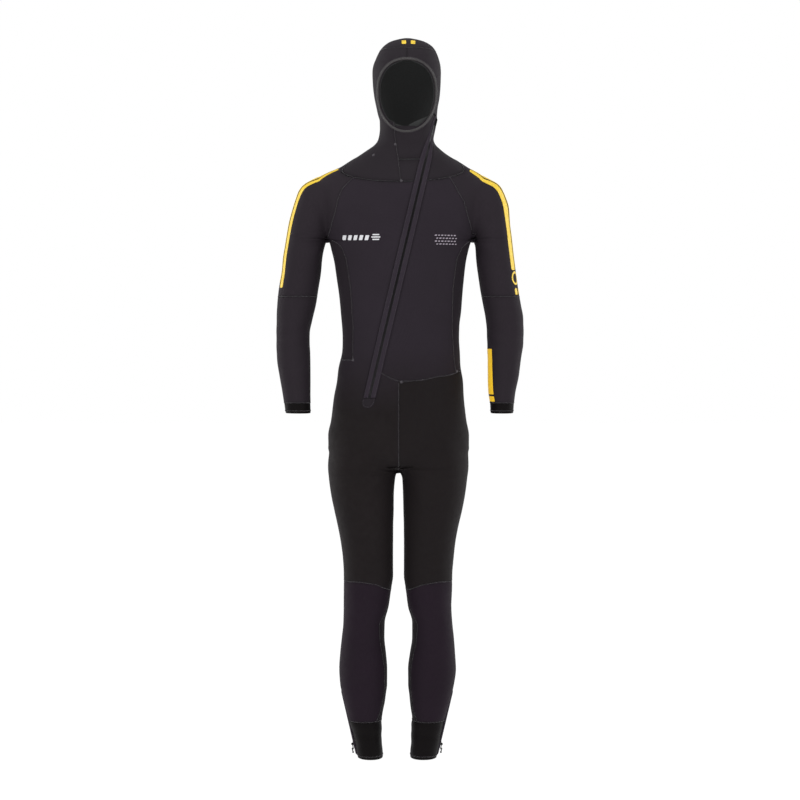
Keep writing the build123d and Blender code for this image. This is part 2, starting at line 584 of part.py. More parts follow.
crown = dome(0) - Pos(0, 0, -0.01) * dome(WALL)
nape = []
for z in [1388, 1400, 1420, 1440, 1456, 1480, 1510, 1545, 1580, 1605, 1622, CROWN_Z - SEAM]:
    k = tilt_at(z)
    p0 = front_y(16 - NAPE_HALF, z, k, ("core",), cy=8, sign=1)
    p1 = front_y(16 + NAPE_HALF, z, k, ("core",), cy=8, sign=1)
    nape.append(row(z, k, (16, 8), p0, p1, -1, ("core",), n=7))
keep("hood_crown", clean_solid(crown))
keep("hood_back_strip", loft_rows(nape))

# face seal: rolled rim round the face opening, joined under the chin
rim = []
for a in np.linspace(-np.pi / 2 + 0.02, 1.5 * np.pi - 0.02, 33):
    ca, sa = np.cos(a), np.sin(a)
    o, i = [], []
    for off in (-3.0, 0.0, 3.0):
        z = FACE_C[1] + (FACE_HALF[1] + off) * sa
        half = (FACE_HALF[0] + off) * (abs(ca) ** 0.97) * (1 + 0.10 * sa)
        x = float(np.clip(FACE_C[0] + np.sign(ca) * half, -47 + off * 0.4 * np.sign(ca), 77 + off * 0.4 * np.sign(ca)))
        q = warp(front_y(x, z, 0, ("core",), cy=8))
        o.append(q)
        i.append(q + np.array([0, 4.0, 0]))
    rim.append((o, i))
keep("face_seal", loft_rows(rim))

# ---------------------------------------------------------------- front zip
PHI0, PHI1 = -HALF, HALF
for side, tag in ((-1, "right"), (1, "left")):
    web = [(side * 2.3, -1.5), (side * 6.2, -1.5), (side * 6.2, -4.2), (side * TAPE_HALF, -4.2), (side * TAPE_HALF, 0.6),
           (side * 6.2, 0.6), (side * 6.2, -0.6), (side * 2.3, -0.6)]
    keep("front_zip_tape_" + tag, revolved(web, PHI0, PHI1))
    chain = [(side * 0.95, -2.0), (side * CHAIN_HALF, -2.0), (side * CHAIN_HALF, 0.0), (side * 0.95, 0.0)]
    keep("front_zip_chain_" + tag, revolved(chain, PHI0 + 6 / RAD, PHI1 - 6 / RAD))
keep("front_zip_underflap", revolved([(-15, -9.2), (15, -9.2), (15, -6.2), (-15, -6.2)], PHI0 + 135 / RAD, PHI1))


def slider_body(hl, hw):
    """Zip slider in its own frame: x across the chain, y up the chain, z out of the garment."""
    top = Pos(0, 0, 1.1) * Box(2 * hw, 2 * hl, 1.5)
    top = fillet(top.edges().filter_by(Axis.Z), 2.4)
    bot = Pos(0, 0, -3.05) * Box(2 * hw, 2 * hl, 1.4)
    bot = fillet(bot.edges().filter_by(Axis.Z), 2.4)
    body = top + bot
    for sx in (-1, 1):
        body += Pos(sx * (hw + 2.6) / 2, 0, 0.0) * Box(hw - 2.6, 2 * hl - 5, 0.9)
        body += Pos(sx * (hw + 2.6) / 2, 0, -2.1) * Box(hw - 2.6, 2 * hl - 5, 0.6)
        body += Pos(sx * 3.7, 2.0, 3.4) * Box(1.3, 4.6, 3.6)
    body += Pos(0, hl * 0.45, -1.0) * Box(1.2, hl, 3.0)
    body += Pos(0, 2.0, 4.3) * Rot(0, 90, 0) * Cylinder(0.8, 8.0)
    return clean_solid(body)


def puller_tab(length):
    """Pull tab hung on the slider's bar, lying down the chain from its eye at y = 2."""
    eye = Pos(0, 2.0, 4.3) * Rot(0, 90, 0) * (Cylinder(2.0, 4.6) - Cylinder(1.2, 5.0))
    tab = Pos(0, 2.0 - length / 2 - 1.5, 3.9) * Box(4.6, length, 1.6)
    tab = tab - Pos(0, 2.0, 4.3) * Rot(0, 90, 0) * Cylinder(1.2, 8.0)
    hole = Pos(0, 2.0 - length + 1.2, 3.9) * Cylinder(1.3, 6)
    ring = Pos(0, 2.0, 4.3) * Rot(0, 90, 0) * Cylinder(1.2, 8.0)
    return clean_solid(eye + tab - hole - ring)


def pull_cord(length, start):
    """Knotted cord loop through the pull tab's hole."""
    y0 = 2.0 - start + 1.2
    c = Pos(0, y0, 4.2) * Cylinder(1.0, 3.4)
    y1 = y0 - length
    c += Pos(0, (y0 + y1) / 2, 6.2) * Rot(90, 0, 0) * Cylinder(1.3, length)
    c += Pos(0, y0, 6.0) * Sphere(1.5)
    c += Pos(0, y1, 6.2) * Sphere(2.2)
    return clean_solid(c)


def at(phi, shape, lift=0.0):
    return local(phi, lift).location * shape


keep("front_zip_top_stop", clean_solid(at(PHI0 + 2.5 / RAD, Pos(0, 0, -1.05) * Box(4.4, 4.0, 2.2))))
keep("front_zip_bottom_stop", clean_solid(at(PHI1 - 2.5 / RAD, Pos(0, 0, -1.05) * Box(4.4, 4.4, 2.4))))
flap = Pos(0, 0, -2.0) * extrude(Sketch() + RectangleRounded(29, 13, 5.5), amount=3.0)
keep("front_zip_end_flap", clean_solid(at(PHI1 + 8.5 / RAD, flap)))
SLIDER_PHI = PHI0 + 15.5 / RAD           # slider at rest, closed at the jaw
SLIDER_TRAVEL = PHI1 - 15.5 / RAD - SLIDER_PHI
keep("front_zip_slider", clean_solid(at(SLIDER_PHI, slider_body(9.0, 5.2))))
keep("front_zip_puller", clean_solid(at(SLIDER_PHI, puller_tab(15.0))))
keep("front_zip_pull_cord", clean_solid(at(SLIDER_PHI, pull_cord(22.0, 15.0))))

# ---------------------------------------------------------------- ankle zips, on the outer side of each ankle
ANKLE = {"right": (np.array([-101.5, -2.0, 7.0]), np.array([-137.5, 8.0, 158.0]), -1),
         "left": (np.array([87.5, -2.0, 7.0]), np.array([124.0, 8.0, 158.0]), 1)}
ANKLE_REST = 22.0       # slider centre above the chain's lower end, closed
ANKLE_TRAVEL = 110.0    # slide of the slider when the ankle is opened
ANKLE_FRAMES = {}
for tag, (a0, a1, sx) in ANKLE.items():
    u = (a1 - a0) / np.linalg.norm(a1 - a0)
    nrm = np.array([sx, 0.0, 0.0]) - sx * u[0] * u
    nrm = nrm / np.linalg.norm(nrm)
    lat = np.cross(u, nrm)
    base = Plane(origin=tuple(a0), x_dir=tuple(lat), z_dir=tuple(nrm))
    ANKLE_FRAMES[tag] = (a0, u, nrm, lat)
    L = ANKLE_ZIP_LEN

    def put(shape, up=0.0):
        return clean_solid(base.location * (Pos(0, up, 0) * shape))

    tapes = []
    for s in (-1, 1):
        prof = [(s * 2.3, -1.5), (s * 6.0, -1.5), (s * 6.0, -3.4), (s * 11.5, -3.4), (s * 11.5, 0.4), (s * 6.0, 0.4), (s * 6.0, -0.6), (s * 2.3, -0.6)]
        w = Wire.make_polygon([Vector(x, 0, z) for x, z in prof], close=True)
        tapes.append(put(Solid.extrude(Face(w), Vector(0, L, 0))))
        rail = Pos(s * 1.55, L / 2, -1.0) * Box(1.2, L - 12, 2.0)
        tapes.append(put(rail))
    keep("ankle_zip_tapes_" + tag, Compound([tapes[0], tapes[2]]))
    keep("ankle_zip_chains_" + tag, Compound([tapes[1], tapes[3]]))
    keep("ankle_zip_gusset_" + tag, put(Pos(0, L / 2, -6.4) * Box(24, L - 2, 2.0)))
    keep("ankle_zip_stops_" + tag, Compound([put(Pos(0, 2.5, -1.0) * Box(4.4, 3.6, 2.2)), put(Pos(0, L - 2.5, -1.0) * Box(4.4, 3.6, 2.2))]))
    keep("ankle_zip_slider_" + tag, put(slider_body(7.5, 5.0), ANKLE_REST))
    keep("ankle_zip_puller_" + tag, put(puller_tab(11.0), ANKLE_REST))
    keep("ankle_zip_pull_cord_" + tag, put(pull_cord(9.0, 11.0), ANKLE_REST))

os.makedirs("parts", exist_ok=True)
for node, shape in PARTS.items():
    shape.label = node
    export_step(shape, "parts/" + node + ".step")
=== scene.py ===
import bpy
import math
import numpy as np
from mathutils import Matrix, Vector
from mathutils.bvhtree import BVHTree


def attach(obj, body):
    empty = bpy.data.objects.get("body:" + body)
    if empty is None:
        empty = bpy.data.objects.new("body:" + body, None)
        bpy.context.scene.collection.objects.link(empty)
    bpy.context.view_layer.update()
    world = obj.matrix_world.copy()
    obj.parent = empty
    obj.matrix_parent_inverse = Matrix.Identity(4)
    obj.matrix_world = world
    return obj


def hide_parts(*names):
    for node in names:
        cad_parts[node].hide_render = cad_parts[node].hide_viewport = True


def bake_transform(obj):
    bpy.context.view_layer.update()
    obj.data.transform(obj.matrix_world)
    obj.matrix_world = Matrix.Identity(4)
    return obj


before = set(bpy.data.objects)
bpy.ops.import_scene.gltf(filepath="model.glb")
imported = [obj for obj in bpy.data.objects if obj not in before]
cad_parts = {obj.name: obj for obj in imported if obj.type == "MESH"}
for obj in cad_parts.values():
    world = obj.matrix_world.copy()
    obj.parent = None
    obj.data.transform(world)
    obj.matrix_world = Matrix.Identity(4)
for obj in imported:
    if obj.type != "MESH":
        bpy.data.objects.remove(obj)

# Hooded one-piece diving wetsuit. Geometry below is computed in millimetres in the shared frame and written in metres.
scene = bpy.context.scene
for _n in ("Cube", "Light", "Camera"):
    if _n in bpy.data.objects:
        bpy.data.objects.remove(bpy.data.objects[_n])
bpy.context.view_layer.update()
PI = math.pi

# ------------------------------------------------------------------ body sections (z, left, right, front, back)
CORE = np.array([
    [676, -104, 98, -60, 66], [684, -128, 120, -80, 100], [700, -150, 144, -94, 116], [716, -166, 159, -101, 123], [745, -167, 160, -106, 124],
    [780, -160, 154, -108, 119], [835, -153, 148, -106, 105], [870, -146, 146, -107, 95], [905, -141, 141, -109, 86],
    [957, -132, 137, -112, 76], [996, -134, 137, -114, 74], [1030, -137, 141, -115, 76], [1070, -141, 144, -114, 81],
    [1107, -146, 148, -113, 87], [1144, -151, 153, -113, 94], [1180, -160, 160, -114, 100], [1205, -166, 166, -115, 105],
    [1235, -176, 177, -113, 109], [1272, -188, 190, -107, 112], [1300, -196, 199, -98, 113], [1320, -199, 203, -91, 112],
    [1337, -194, 200, -84, 110], [1351, -176, 186, -79, 107], [1365, -143, 161, -76, 103], [1379, -120, 139, -73, 98],
    [1393, -96, 114, -70, 92], [1407, -76, 95, -67, 85], [1420, -58, 81, -65, 80], [1430, -51, 78, -66, 77],
    [1444, -48, 80, -70, 76], [1460, -47, 83, -78, 80], [1474, -47, 85, -86, 88], [1488, -51, 86, -91, 96],
    [1502, -54, 87, -94, 102], [1532, -60, 92, -97, 109], [1560, -63, 94, -97, 112], [1589, -64, 95, -93, 110],
    [1603, -62, 94, -88, 107], [1616, -57, 91, -82, 101], [1630, -51, 86, -73, 93], [1644, -42, 78, -58, 80],
    [1657, -26, 60, -36, 58], [1664, -6, 38, -14, 34], [1667, 8, 24, -2, 18]], float)
LEG_R = np.array([
    [0, -99, -39, -43, 38], [15, -102, -39.5, -43, 39], [34, -105, -41.5, -44, 40], [52, -109, -42, -44, 41], [71, -116, -42, -45, 45],
    [89, -121, -42, -46, 50], [108, -125, -39, -47, 56], [126, -130, -35, -48, 63], [145, -134.5, -32.5, -49, 70], [164, -139, -30, -50, 76],
    [201, -141.5, -30, -52, 81], [238, -139, -32.5, -55, 77], [275, -135, -36, -58, 68], [312, -131, -35, -61, 60],
    [349, -130, -26, -65, 57], [386, -130, -21, -68, 58], [423, -130, -16, -71, 62], [461, -132, -16, -75, 67],
    [498, -137, -16, -79, 72], [535, -144, -16, -83, 77], [572, -152, -14.5, -86, 82], [609, -160, -14, -89, 88],
    [646, -165, -11, -92, 97], [672, -167, -6, -95, 106], [700, -165, -6, -97, 111], [716, -158, -10, -93, 106], [740, -142, -22, -84, 94], [790, -110, -50, -60, 60]], float)
LEG_L = np.array([
    [0, 23, 86, -43, 38], [15, 23.5, 89, -43, 39], [34, 25.5, 93, -44, 40], [52, 25.5, 96, -44, 41], [71, 25.5, 100.5, -45, 45],
    [89, 28, 105, -46, 50], [108, 25.5, 111, -47, 56], [126, 23, 116, -48, 63], [145, 21, 121, -49, 70], [164, 18.6, 125, -50, 76],
    [201, 18.6, 130, -52, 81], [238, 23, 128, -55, 77], [275, 28, 125, -58, 68], [312, 28, 121, -61, 60],
    [349, 18.6, 119, -65, 57], [386, 14, 120.6, -68, 58], [423, 9, 121, -71, 62], [461, 9, 124, -75, 67],
    [498, 9, 128, -79, 72], [535, 9, 135, -83, 77], [572, 8, 144, -86, 82], [609, 7, 151, -89, 88],
    [646, 5, 156, -92, 97], [672, -1, 159, -95, 106], [700, 0, 158, -97, 111], [716, 4, 151, -93, 106], [740, 16, 136, -84, 94], [790, 44, 104, -60, 60]], float)
ARM_R = np.array([
    [797, -263.5, -205, -66, 0], [827, -268, -206, -67, 6], [845, -271, -206.5, -67, 10], [882, -278, -206.5, -65, 18], [919, -284, -207, -60, 29],
    [957, -286.3, -209, -51, 40], [975, -286.8, -210, -48, 44], [1012, -286.8, -204, -45, 48], [1049, -285, -195, -45, 51],
    [1087, -281, -189, -47, 54], [1124, -274.5, -183, -49, 56], [1161, -271, -179, -51, 58], [1180, -267.5, -176, -52, 59],
    [1198, -264.5, -171, -53, 60], [1235, -258, -160, -54, 61], [1272, -248, -148, -52, 60], [1296, -241, -150, -48, 56],
    [1310, -236, -160, -43, 51], [1322, -228, -168, -34, 42], [1331, -217, -176, -22, 30], [1337, -205, -186, -9, 17], [1339.5, -198, -193, -1, 9]], float)
ARM_L = np.array([
    [797, 208, 261, -66, 0], [827, 206.5, 263.5, -67, 6], [845, 204, 266, -67, 10], [882, 203, 274, -65, 18], [919, 203, 279, -60, 29],
    [957, 202, 285.5, -51, 40], [975, 202, 286.8, -48, 44], [1012, 199.5, 286.8, -45, 48], [1049, 192.6, 280.7, -45, 51],
    [1087, 185.6, 274, -47, 54], [1124, 181, 269, -49, 56], [1161, 177, 264, -51, 58], [1180, 175, 262, -52, 59],
    [1198, 171, 260, -53, 60], [1235, 160, 255, -54, 61], [1272, 149, 253, -52, 60], [1296, 150, 246, -48, 56],
    [1310, 160, 240, -43, 51], [1322, 170, 233, -34, 42], [1331, 180, 223, -22, 30], [1337, 190, 211, -9, 17], [1339.5, 197, 204, -1, 9]], float)

ZIP_TOP, ZIP_BOTTOM, ZIP_SAGITTA = (83.0, -40.0, 1481.0), (-70.0, -102.0, 835.0), 47.0
WAIST_ROW = 885.0
WALL = 4.6
XC = -3.0                     # centre seam


def monotone(zs, ys, z):
    h = np.diff(zs)
    d = np.diff(ys) / h
    m = np.zeros(len(zs))
    m[0], m[-1] = d[0], d[-1]
    for i in range(1, len(zs) - 1):
        if d[i - 1] * d[i] > 0:
            w1, w2 = 2 * h[i] + h[i - 1], h[i] + 2 * h[i - 1]
            m[i] = (w1 + w2) / (w1 / d[i - 1] + w2 / d[i])
    z = np.clip(z, zs[0], zs[-1])
    i = np.clip(np.searchsorted(zs, z) - 1, 0, len(zs) - 2)
    t = (z - zs[i]) / h[i]
    return ((2 * t**3 - 3 * t**2 + 1) * ys[i] + (t**3 - 2 * t**2 + t) * h[i] * m[i]
            + (-2 * t**3 + 3 * t**2) * ys[i + 1] + (t**3 - t**2) * h[i] * m[i + 1])


ZG = np.arange(-20.0, 1721.0)


class Tube:
    def __init__(self, table, n, core=False):
        xl, xr, yf, yb = (monotone(table[:, 0], table[:, j], ZG) for j in (1, 2, 3, 4))
        self.t = np.stack([(xl + xr) / 2, (xr - xl) / 2, (yf + yb) / 2, (yb - yf) / 2], 1)
        self.n = n
        self.lo, self.hi = table[0, 0] - 5, table[-1, 0] + (0 if core else 0.6)

    def sec(self, z):
        f = np.clip(z + 20, 0, len(ZG) - 1.001)
        i = f.astype(int)
        f = (f - i)[:, None]
        return self.t[i] * (1 - f) + self.t[i + 1] * f

    def dist(self, p):
        s = self.sec(p[:, 2])
        dx, dy = p[:, 0] - s[:, 0], p[:, 1] - s[:, 2]
        n = self.n
        r = ((np.abs(dx) / s[:, 1]) ** n + (np.abs(dy) / s[:, 3]) ** n) ** (1 / n) + 1e-9
        d = np.hypot(dx, dy) * (1 - 1 / r)
        return np.maximum(d, np.maximum(self.lo - p[:, 2], p[:, 2] - self.hi))


TUBES = {"core": Tube(CORE, 2.25, True), "armr": Tube(ARM_R, 2.1), "arml": Tube(ARM_L, 2.1),
         "legr": Tube(LEG_R, 2.15), "legl": Tube(LEG_L, 2.15)}
UP = ("core", "armr", "arml")
HIP = ("core", "legr", "legl")


def field(p, parts, k=16.0):
    out = None
    for name in parts:
        d = TUBES[name].dist(p)
        if out is None:
            out = d
        else:
            h = np.clip(0.5 + 0.5 * (d - out) / k, 0, 1)
            out = d * (1 - h) + out * h - k * h * (1 - h)
    return out


def cast(o, d, parts, outer=False):
    """First way out of the body along each ray; outer=True gives the last one."""
    n = len(o)
    if outer:
        lo = np.zeros(n)
        ts = np.linspace(0, 330, 70)
        f = np.stack([field(o + t * d, parts) for t in ts], 1)
        k = np.where((f < 0).any(1), f.shape[1] - 1 - np.argmax((f < 0)[:, ::-1], 1), 0)
        lo = ts[k]
        hi = ts[np.minimum(k + 1, len(ts) - 1)]
    else:
        t = np.zeros(n)
        lo, hi = np.zeros(n), np.full(n, -1.0)
        live = np.ones(n, bool)
        for _ in range(70):
            idx = np.where(live)[0]
            if len(idx) == 0:
                break
            f = field(o[idx] + t[idx, None] * d[idx], parts)
            out = (f >= 0) & (t[idx] > 0)
            hi[idx[out]] = t[idx[out]]
            live[idx[out]] = False
            ins = idx[~out]
            lo[ins] = t[ins]
            t[ins] += np.clip(-0.75 * f[~out], 0.8, 30)
        hi = np.where(hi < 0, lo, hi)
    for _ in range(12):
        mid = (lo + hi) / 2
        ins = field(o + mid[:, None] * d, parts) < 0
        lo = np.where(ins, mid, lo)
        hi = np.where(ins, hi, mid)
    return o + lo[:, None] * d


BUMPS = np.array([
    [-72, -112, 1190, 62, 60, 52, 4.5], [78, -112, 1190, 62, 60, 52, 4.5],
    [-84, -68, 368, 34, 40, 40, 4.0], [68, -68, 368, 34, 40, 40, 4.0],
    [-76, 118, 742, 60, 60, 56, 7.0], [70, 118, 742, 60, 60, 56, 7.0],
    [-88, 108, 1240, 60, 50, 80, 4.0], [92, 108, 1240, 60, 50, 80, 4.0],
    [-3, 90, 1010, 26, 50, 130, -4.0], [-3, 112, 730, 14, 60, 55, -5.0],
    [-84, 80, 225, 40, 40, 60, 3.0], [74, 80, 225, 40, 40, 60, 3.0],
    [-90, -80, 600, 50, 50, 90, 3.0], [80, -80, 600, 50, 50, 90, 3.0],
    [16, -60, 1395, 60, 60, 22, -2.5]], float)


def creases(p):
    """Soft folds where the garment bends, in millimetres outwards."""
    x, y, z = p[:, 0], p[:, 1], p[:, 2]
    w = np.zeros(len(p))
    for b in BUMPS:
        w += b[6] * np.exp(-((x - b[0]) / b[3]) ** 2 - ((y - b[1]) / b[4]) ** 2 - ((z - b[2]) / b[5]) ** 2)
    for side in (-1, 1):
        c = XC + side * 6
        # folds that fan out from the crotch over the front and back of the thighs
        r = np.hypot(x - c, (z - 668))
        ang = np.arctan2(z - 668, side * (x - c))
        g = np.exp(-((r - 62) / 55) ** 2) * np.clip(side * (x - c) / 25, 0, 1)
        w += 1.1 * g * np.sin(9.0 * ang + 1.3 * side + 0.02 * r)
        # inside of the elbows
        ex = side * 243.0
        g = np.exp(-((z - 985) / 44) ** 2 - ((x - ex) / 60) ** 2)
        w += 1.0 * g * np.sin(z / 6.6 + 0.05 * (x - ex) * side + 0.5 * np.sin(z / 17)) * np.clip((25 - y) / 50, 0, 1)
        # backs of the knees and above the kneecaps
        kx = -82 if side < 0 else 70
        g = np.exp(-((z - 345) / 42) ** 2 - ((x - kx) / 70) ** 2)
        w += 1.3 * g * np.sin(z / 7.2 + 0.03 * (x - kx)) * np.clip((y - 5) / 30, 0, 1)
        g = np.exp(-((z - 440) / 26) ** 2 - ((x - kx) / 60) ** 2) * np.clip((-y - 10) / 30, 0, 1)
        w += 0.7 * g * np.sin(z / 6.0 + 0.06 * abs(1) * (x - kx))
        # ankles
        ax = -76 if side < 0 else 61
        g = np.exp(-((z - 70) / 30) ** 2 - ((x - ax) / 60) ** 2)
        w += 0.7 * g * np.sin(z / 5.2 + 0.04 * (x - ax))
        # armpits: folds that run up to the shoulder
        px = -166 if side < 0 else 168
        r = np.hypot(x - px, z - 1196)
        ang = np.arctan2(z - 1196, -side * (x - px))
        g = np.exp(-((r - 48) / 34) ** 2)
        w += 1.0 * g * np.sin(7.0 * ang + side)
        # shoulder tops
        g = np.exp(-((z - 1300) / 60) ** 2 - ((x - side * 205) / 50) ** 2)
        w += 0.6 * g * np.sin((z + side * 0.6 * x) / 13.0)
    # neck rolls
    g = np.exp(-((z - 1425) / 34) ** 2) * np.exp(-((x - 16) / 90) ** 2)
    w += 1.0 * g * np.sin((z + 0.35 * y) / 7.5 + 0.02 * x) * np.clip((y + 40) / 50, 0, 1)
    # waist
    g = np.exp(-((z - 930) / 60) ** 2) * np.exp(-((np.abs(x) - 120) / 60) ** 2)
    w += 0.8 * g * np.sin(z / 11.0 + 0.03 * x)
    w += 0.35 * np.sin(x / 31.0 + 1.7 * np.sin(z / 57.0)) * np.sin(z / 43.0 + y / 37.0)
    return w


def grad(p, parts):
    e = 0.8
    g = np.stack([field(p + np.eye(3)[i] * e, parts) - field(p - np.eye(3)[i] * e, parts) for i in range(3)], 1)
    return g / (np.linalg.norm(g, axis=1, keepdims=True) + 1e-12)


# ------------------------------------------------------------------ front zip arc
Z0, Z1 = np.array(ZIP_TOP), np.array(ZIP_BOTTOM)
CH = (Z1 - Z0) / np.linalg.norm(Z1 - Z0)
LAT = np.array([-CH[2], 0, CH[0]])
LAT /= np.linalg.norm(LAT)
LAT = LAT if LAT[0] > 0 else -LAT
NRM = np.cross(CH, LAT)
NRM = NRM if NRM[1] < 0 else -NRM
HALFLEN = np.linalg.norm(Z1 - Z0) / 2
RAD = (HALFLEN**2 + ZIP_SAGITTA**2) / (2 * ZIP_SAGITTA)
HALF = math.asin(HALFLEN / RAD)
CEN = (Z0 + Z1) / 2 + NRM * (ZIP_SAGITTA - RAD)
_phi = np.linspace(-HALF, HALF, 400)
_zp = CEN + RAD * (NRM * np.cos(_phi)[:, None] + CH * np.sin(_phi)[:, None])
_o = np.argsort(_zp[:, 2])
_zp = _zp[_o]


def zip_x(z):
    return np.interp(z, _zp[:, 2], _zp[:, 0])


def zip_y(z):
    return np.interp(z, _zp[:, 2], _zp[:, 1])


def raw(o, d, parts, outer=False):
    q = cast(o, d, parts, outer)
    return q + grad(q, parts) * creases(q)[:, None]


ZW = np.linspace(800, 1500, 71)
_zc = np.clip(ZW, ZIP_BOTTOM[2], ZIP_TOP[2])
_q = raw(np.stack([zip_x(_zc), np.full(71, 8.0), _zc], 1), np.tile([0.0, -1, 0], (71, 1)), ("core",), True)
DELTA = zip_y(_zc) - _q[:, 1]


def warp(q):
    z = q[:, 2]
    d = np.interp(z, ZW, DELTA)
    fade = np.clip((z - 780) / 55, 0, 1) * np.clip((1530 - z) / 50, 0, 1)
    x = zip_x(np.clip(z, ZIP_BOTTOM[2], ZIP_TOP[2]))
    g = np.exp(-((q[:, 0] - x) / 60) ** 2) * np.clip((-q[:, 1] - 2) / 30, 0, 1) * fade
    out = q.copy()
    out[:, 1] += d * g
    return out


def surf(o, d, parts, outer=False):
    q = raw(o, d, parts, outer)
    return warp(q) if "core" in parts else q


def front(x, z, parts=UP, sign=-1.0, y0=0.0):
    """Point of the garment in front of (x, z)."""
    x, z = np.broadcast_arrays(np.asarray(x, float), np.asarray(z, float))
    o = np.stack([x.ravel(), np.full(x.size, y0), z.ravel()], 1)
    return surf(o, np.tile([0.0, sign, 0.0], (x.size, 1)), parts, True).reshape(x.shape + (3,))


# ------------------------------------------------------------------ lattices: the garment's surface by row and direction
class Lattice:
    """Rows are planes z = v + k*y; a direction of 0 is the wearer's front, positive to the wearer's left."""

    def __init__(self, vs, k, org, parts, m=300):
        self.v = np.asarray(vs, float)
        self.m = m
        self.phi = np.linspace(-PI, PI, m, endpoint=False)
        self.p = np.zeros((len(self.v), m, 3))
        groups = {}
        for i, v in enumerate(self.v):
            groups.setdefault(parts(v), []).append(i)
        for pr, idx in groups.items():
            vv = self.v[idx]
            kk = np.array([k(v) for v in vv])
            oo = np.array([org(v) for v in vv])
            d = np.zeros((len(idx), m, 3))
            d[..., 0] = np.sin(self.phi)
            d[..., 1] = -np.cos(self.phi)
            d[..., 2] = kk[:, None] * d[..., 1]
            o = np.zeros((len(idx), m, 3))
            o[..., 0] = oo[:, :1]
            o[..., 1] = oo[:, 1:]
            o[..., 2] = (vv + kk * oo[:, 1])[:, None]
            self.p[idx] = surf(o.reshape(-1, 3), d.reshape(-1, 3), pr).reshape(len(idx), m, 3)

    def at(self, v, a):
        v, a = np.broadcast_arrays(np.asarray(v, float), np.asarray(a, float))
        fi = np.interp(v, self.v, np.arange(len(self.v)))
        i = np.clip(fi.astype(int), 0, len(self.v) - 2)
        f = (fi - i)[..., None]
        fj = ((a + PI) / (2 * PI) * self.m) % self.m
        j = fj.astype(int) % self.m
        g = (fj - np.floor(fj))[..., None]
        j1 = (j + 1) % self.m
        p = self.p
        return ((p[i, j] * (1 - g) + p[i, j1] * g) * (1 - f) + (p[i + 1, j] * (1 - g) + p[i + 1, j1] * g) * f)

    def cross(self, v, fun, a, b, n=260):
        """Direction between a and b, scanned from a, where fun(points) changes sign in row v."""
        out = []
        for vv in np.atleast_1d(v):
            aa = np.linspace(a(vv) if callable(a) else a, b(vv) if callable(b) else b, n)
            f = fun(self.at(vv, aa))
            s = np.where(np.sign(f[:-1]) != np.sign(f[1:]))[0]
            if len(s) == 0:
                out.append(aa[np.argmin(np.abs(f))])
            else:
                i = s[0]
                out.append(aa[i] + (aa[i + 1] - aa[i]) * f[i] / (f[i] - f[i + 1] + 1e-12))
        return np.array(out)

    def shift(self, v, a, s):
        """Direction reached by walking s millimetres along row v from direction a."""
        out = []
        v, a, s = np.broadcast_arrays(np.atleast_1d(v), np.atleast_1d(a), np.atleast_1d(s))
        for vv, a0, sv in zip(v, a, s):
            aa = a0 + np.linspace(-1.6, 1.6, 321)
            p = self.at(vv, aa)
            l = np.concatenate([[0], np.cumsum(np.linalg.norm(np.diff(p, axis=0), axis=1))])
            out.append(float(np.interp(l[160] + sv, l, aa)))
        return np.array(out)


def saddle(parts, x0, x1, za, zb, ys):
    """Height at which the gap between two limbs closes."""
    for z in np.arange(za, zb, 0.5):
        xs = np.linspace(x0, x1, 40)
        X, Y = np.meshgrid(xs, ys)
        p = np.stack([X.ravel(), Y.ravel(), np.full(X.size, z)], 1)
        f = field(p, parts).reshape(X.shape).max(1)
        if f.min() < 0:
            return z
    return zb


ARM_Z = {-1: saddle(UP, -185, -150, 1150, 1230, np.linspace(-25, 25, 21)), 1: saddle(UP, 150, 190, 1150, 1230, np.linspace(-25, 25, 21))}
LEG_Z = saddle(HIP, -20, 15, 640, 700, np.linspace(-40, 50, 31))


def tilt(v):
    z0 = max(ARM_Z.values()) + 2
    return float(np.interp(v, [z0, 1385, 1400, 1450], [0, 0.65, 0.65, 0]))


def rows(*spans):
    """Heights from spans (start, stop, step)."""
    out = []
    for a, b, s in spans:
        n = max(1, int(round(abs(b - a) / s)))
        out += list(np.linspace(a, b, n + 1)[:-1])
    out.append(spans[-1][1])
    return np.unique(np.round(out, 3))


torso = Lattice(rows((790, 1170, 6), (1170, 1400, 3.5), (1400, 1600, 5), (1600, 1650, 3), (1650, 1666.6, 1.2)), tilt,
                lambda v: (float(np.interp(v, [800, 1300, 1450], [5, 5, 16])), 8.0),
                lambda v: UP if 1120 < v < 1480 else ("core",))


def leg_lattice(side):
    tube = TUBES["legr" if side < 0 else "legl"]
    name = "legr" if side < 0 else "legl"

    def org(v):
        s = tube.sec(np.array([v]))[0]
        w = float(np.clip((v - 640) / 60, 0, 1))
        return (s[0] * (1 - w) + side * 78 * w, s[2] * (1 - w) + 5 * w)
    return Lattice(rows((0, 120, 3.5), (120, 560, 6), (560, 657, 3), (657, 690, 0.8), (690, 730, 2.5), (730, 900, 6)), lambda v: 0.0, org,
                   lambda v: HIP if 560 < v < 830 else ((name,) if v <= 560 else ("core",)))


def arm_lattice(side):
    name = "armr" if side < 0 else "arml"
    tube = TUBES[name]
    zs = ARM_Z[side]
    spec = [(zs, None), (1215, -190), (1250, -182), (1285, -168), (1315, -150), (1345, -112), (1368, -74), (1400, -40)]

    def org(v):
        s = tube.sec(np.array([min(v, zs)]))[0]
        if v <= zs:
            return (s[0], s[2])
        xs = [abs(s[0])] + [-q[1] for q in spec[1:]]
        x = float(np.interp(v, [q[0] for q in spec], xs))
        w = float(np.clip((v - zs) / 25, 0, 1))
        return (side * x, s[2] * (1 - w) + 5 * w)
    return Lattice(rows((797, 1060, 5), (1060, 1170, 4.5), (1170, 1194, 3), (1194, 1226, 0.8), (1226, 1386, 3)), tilt, org,
                   lambda v: UP if v > 1110 else (name,))


LEG = {s: leg_lattice(s) for s in (-1, 1)}
ARM = {s: arm_lattice(s) for s in (-1, 1)}

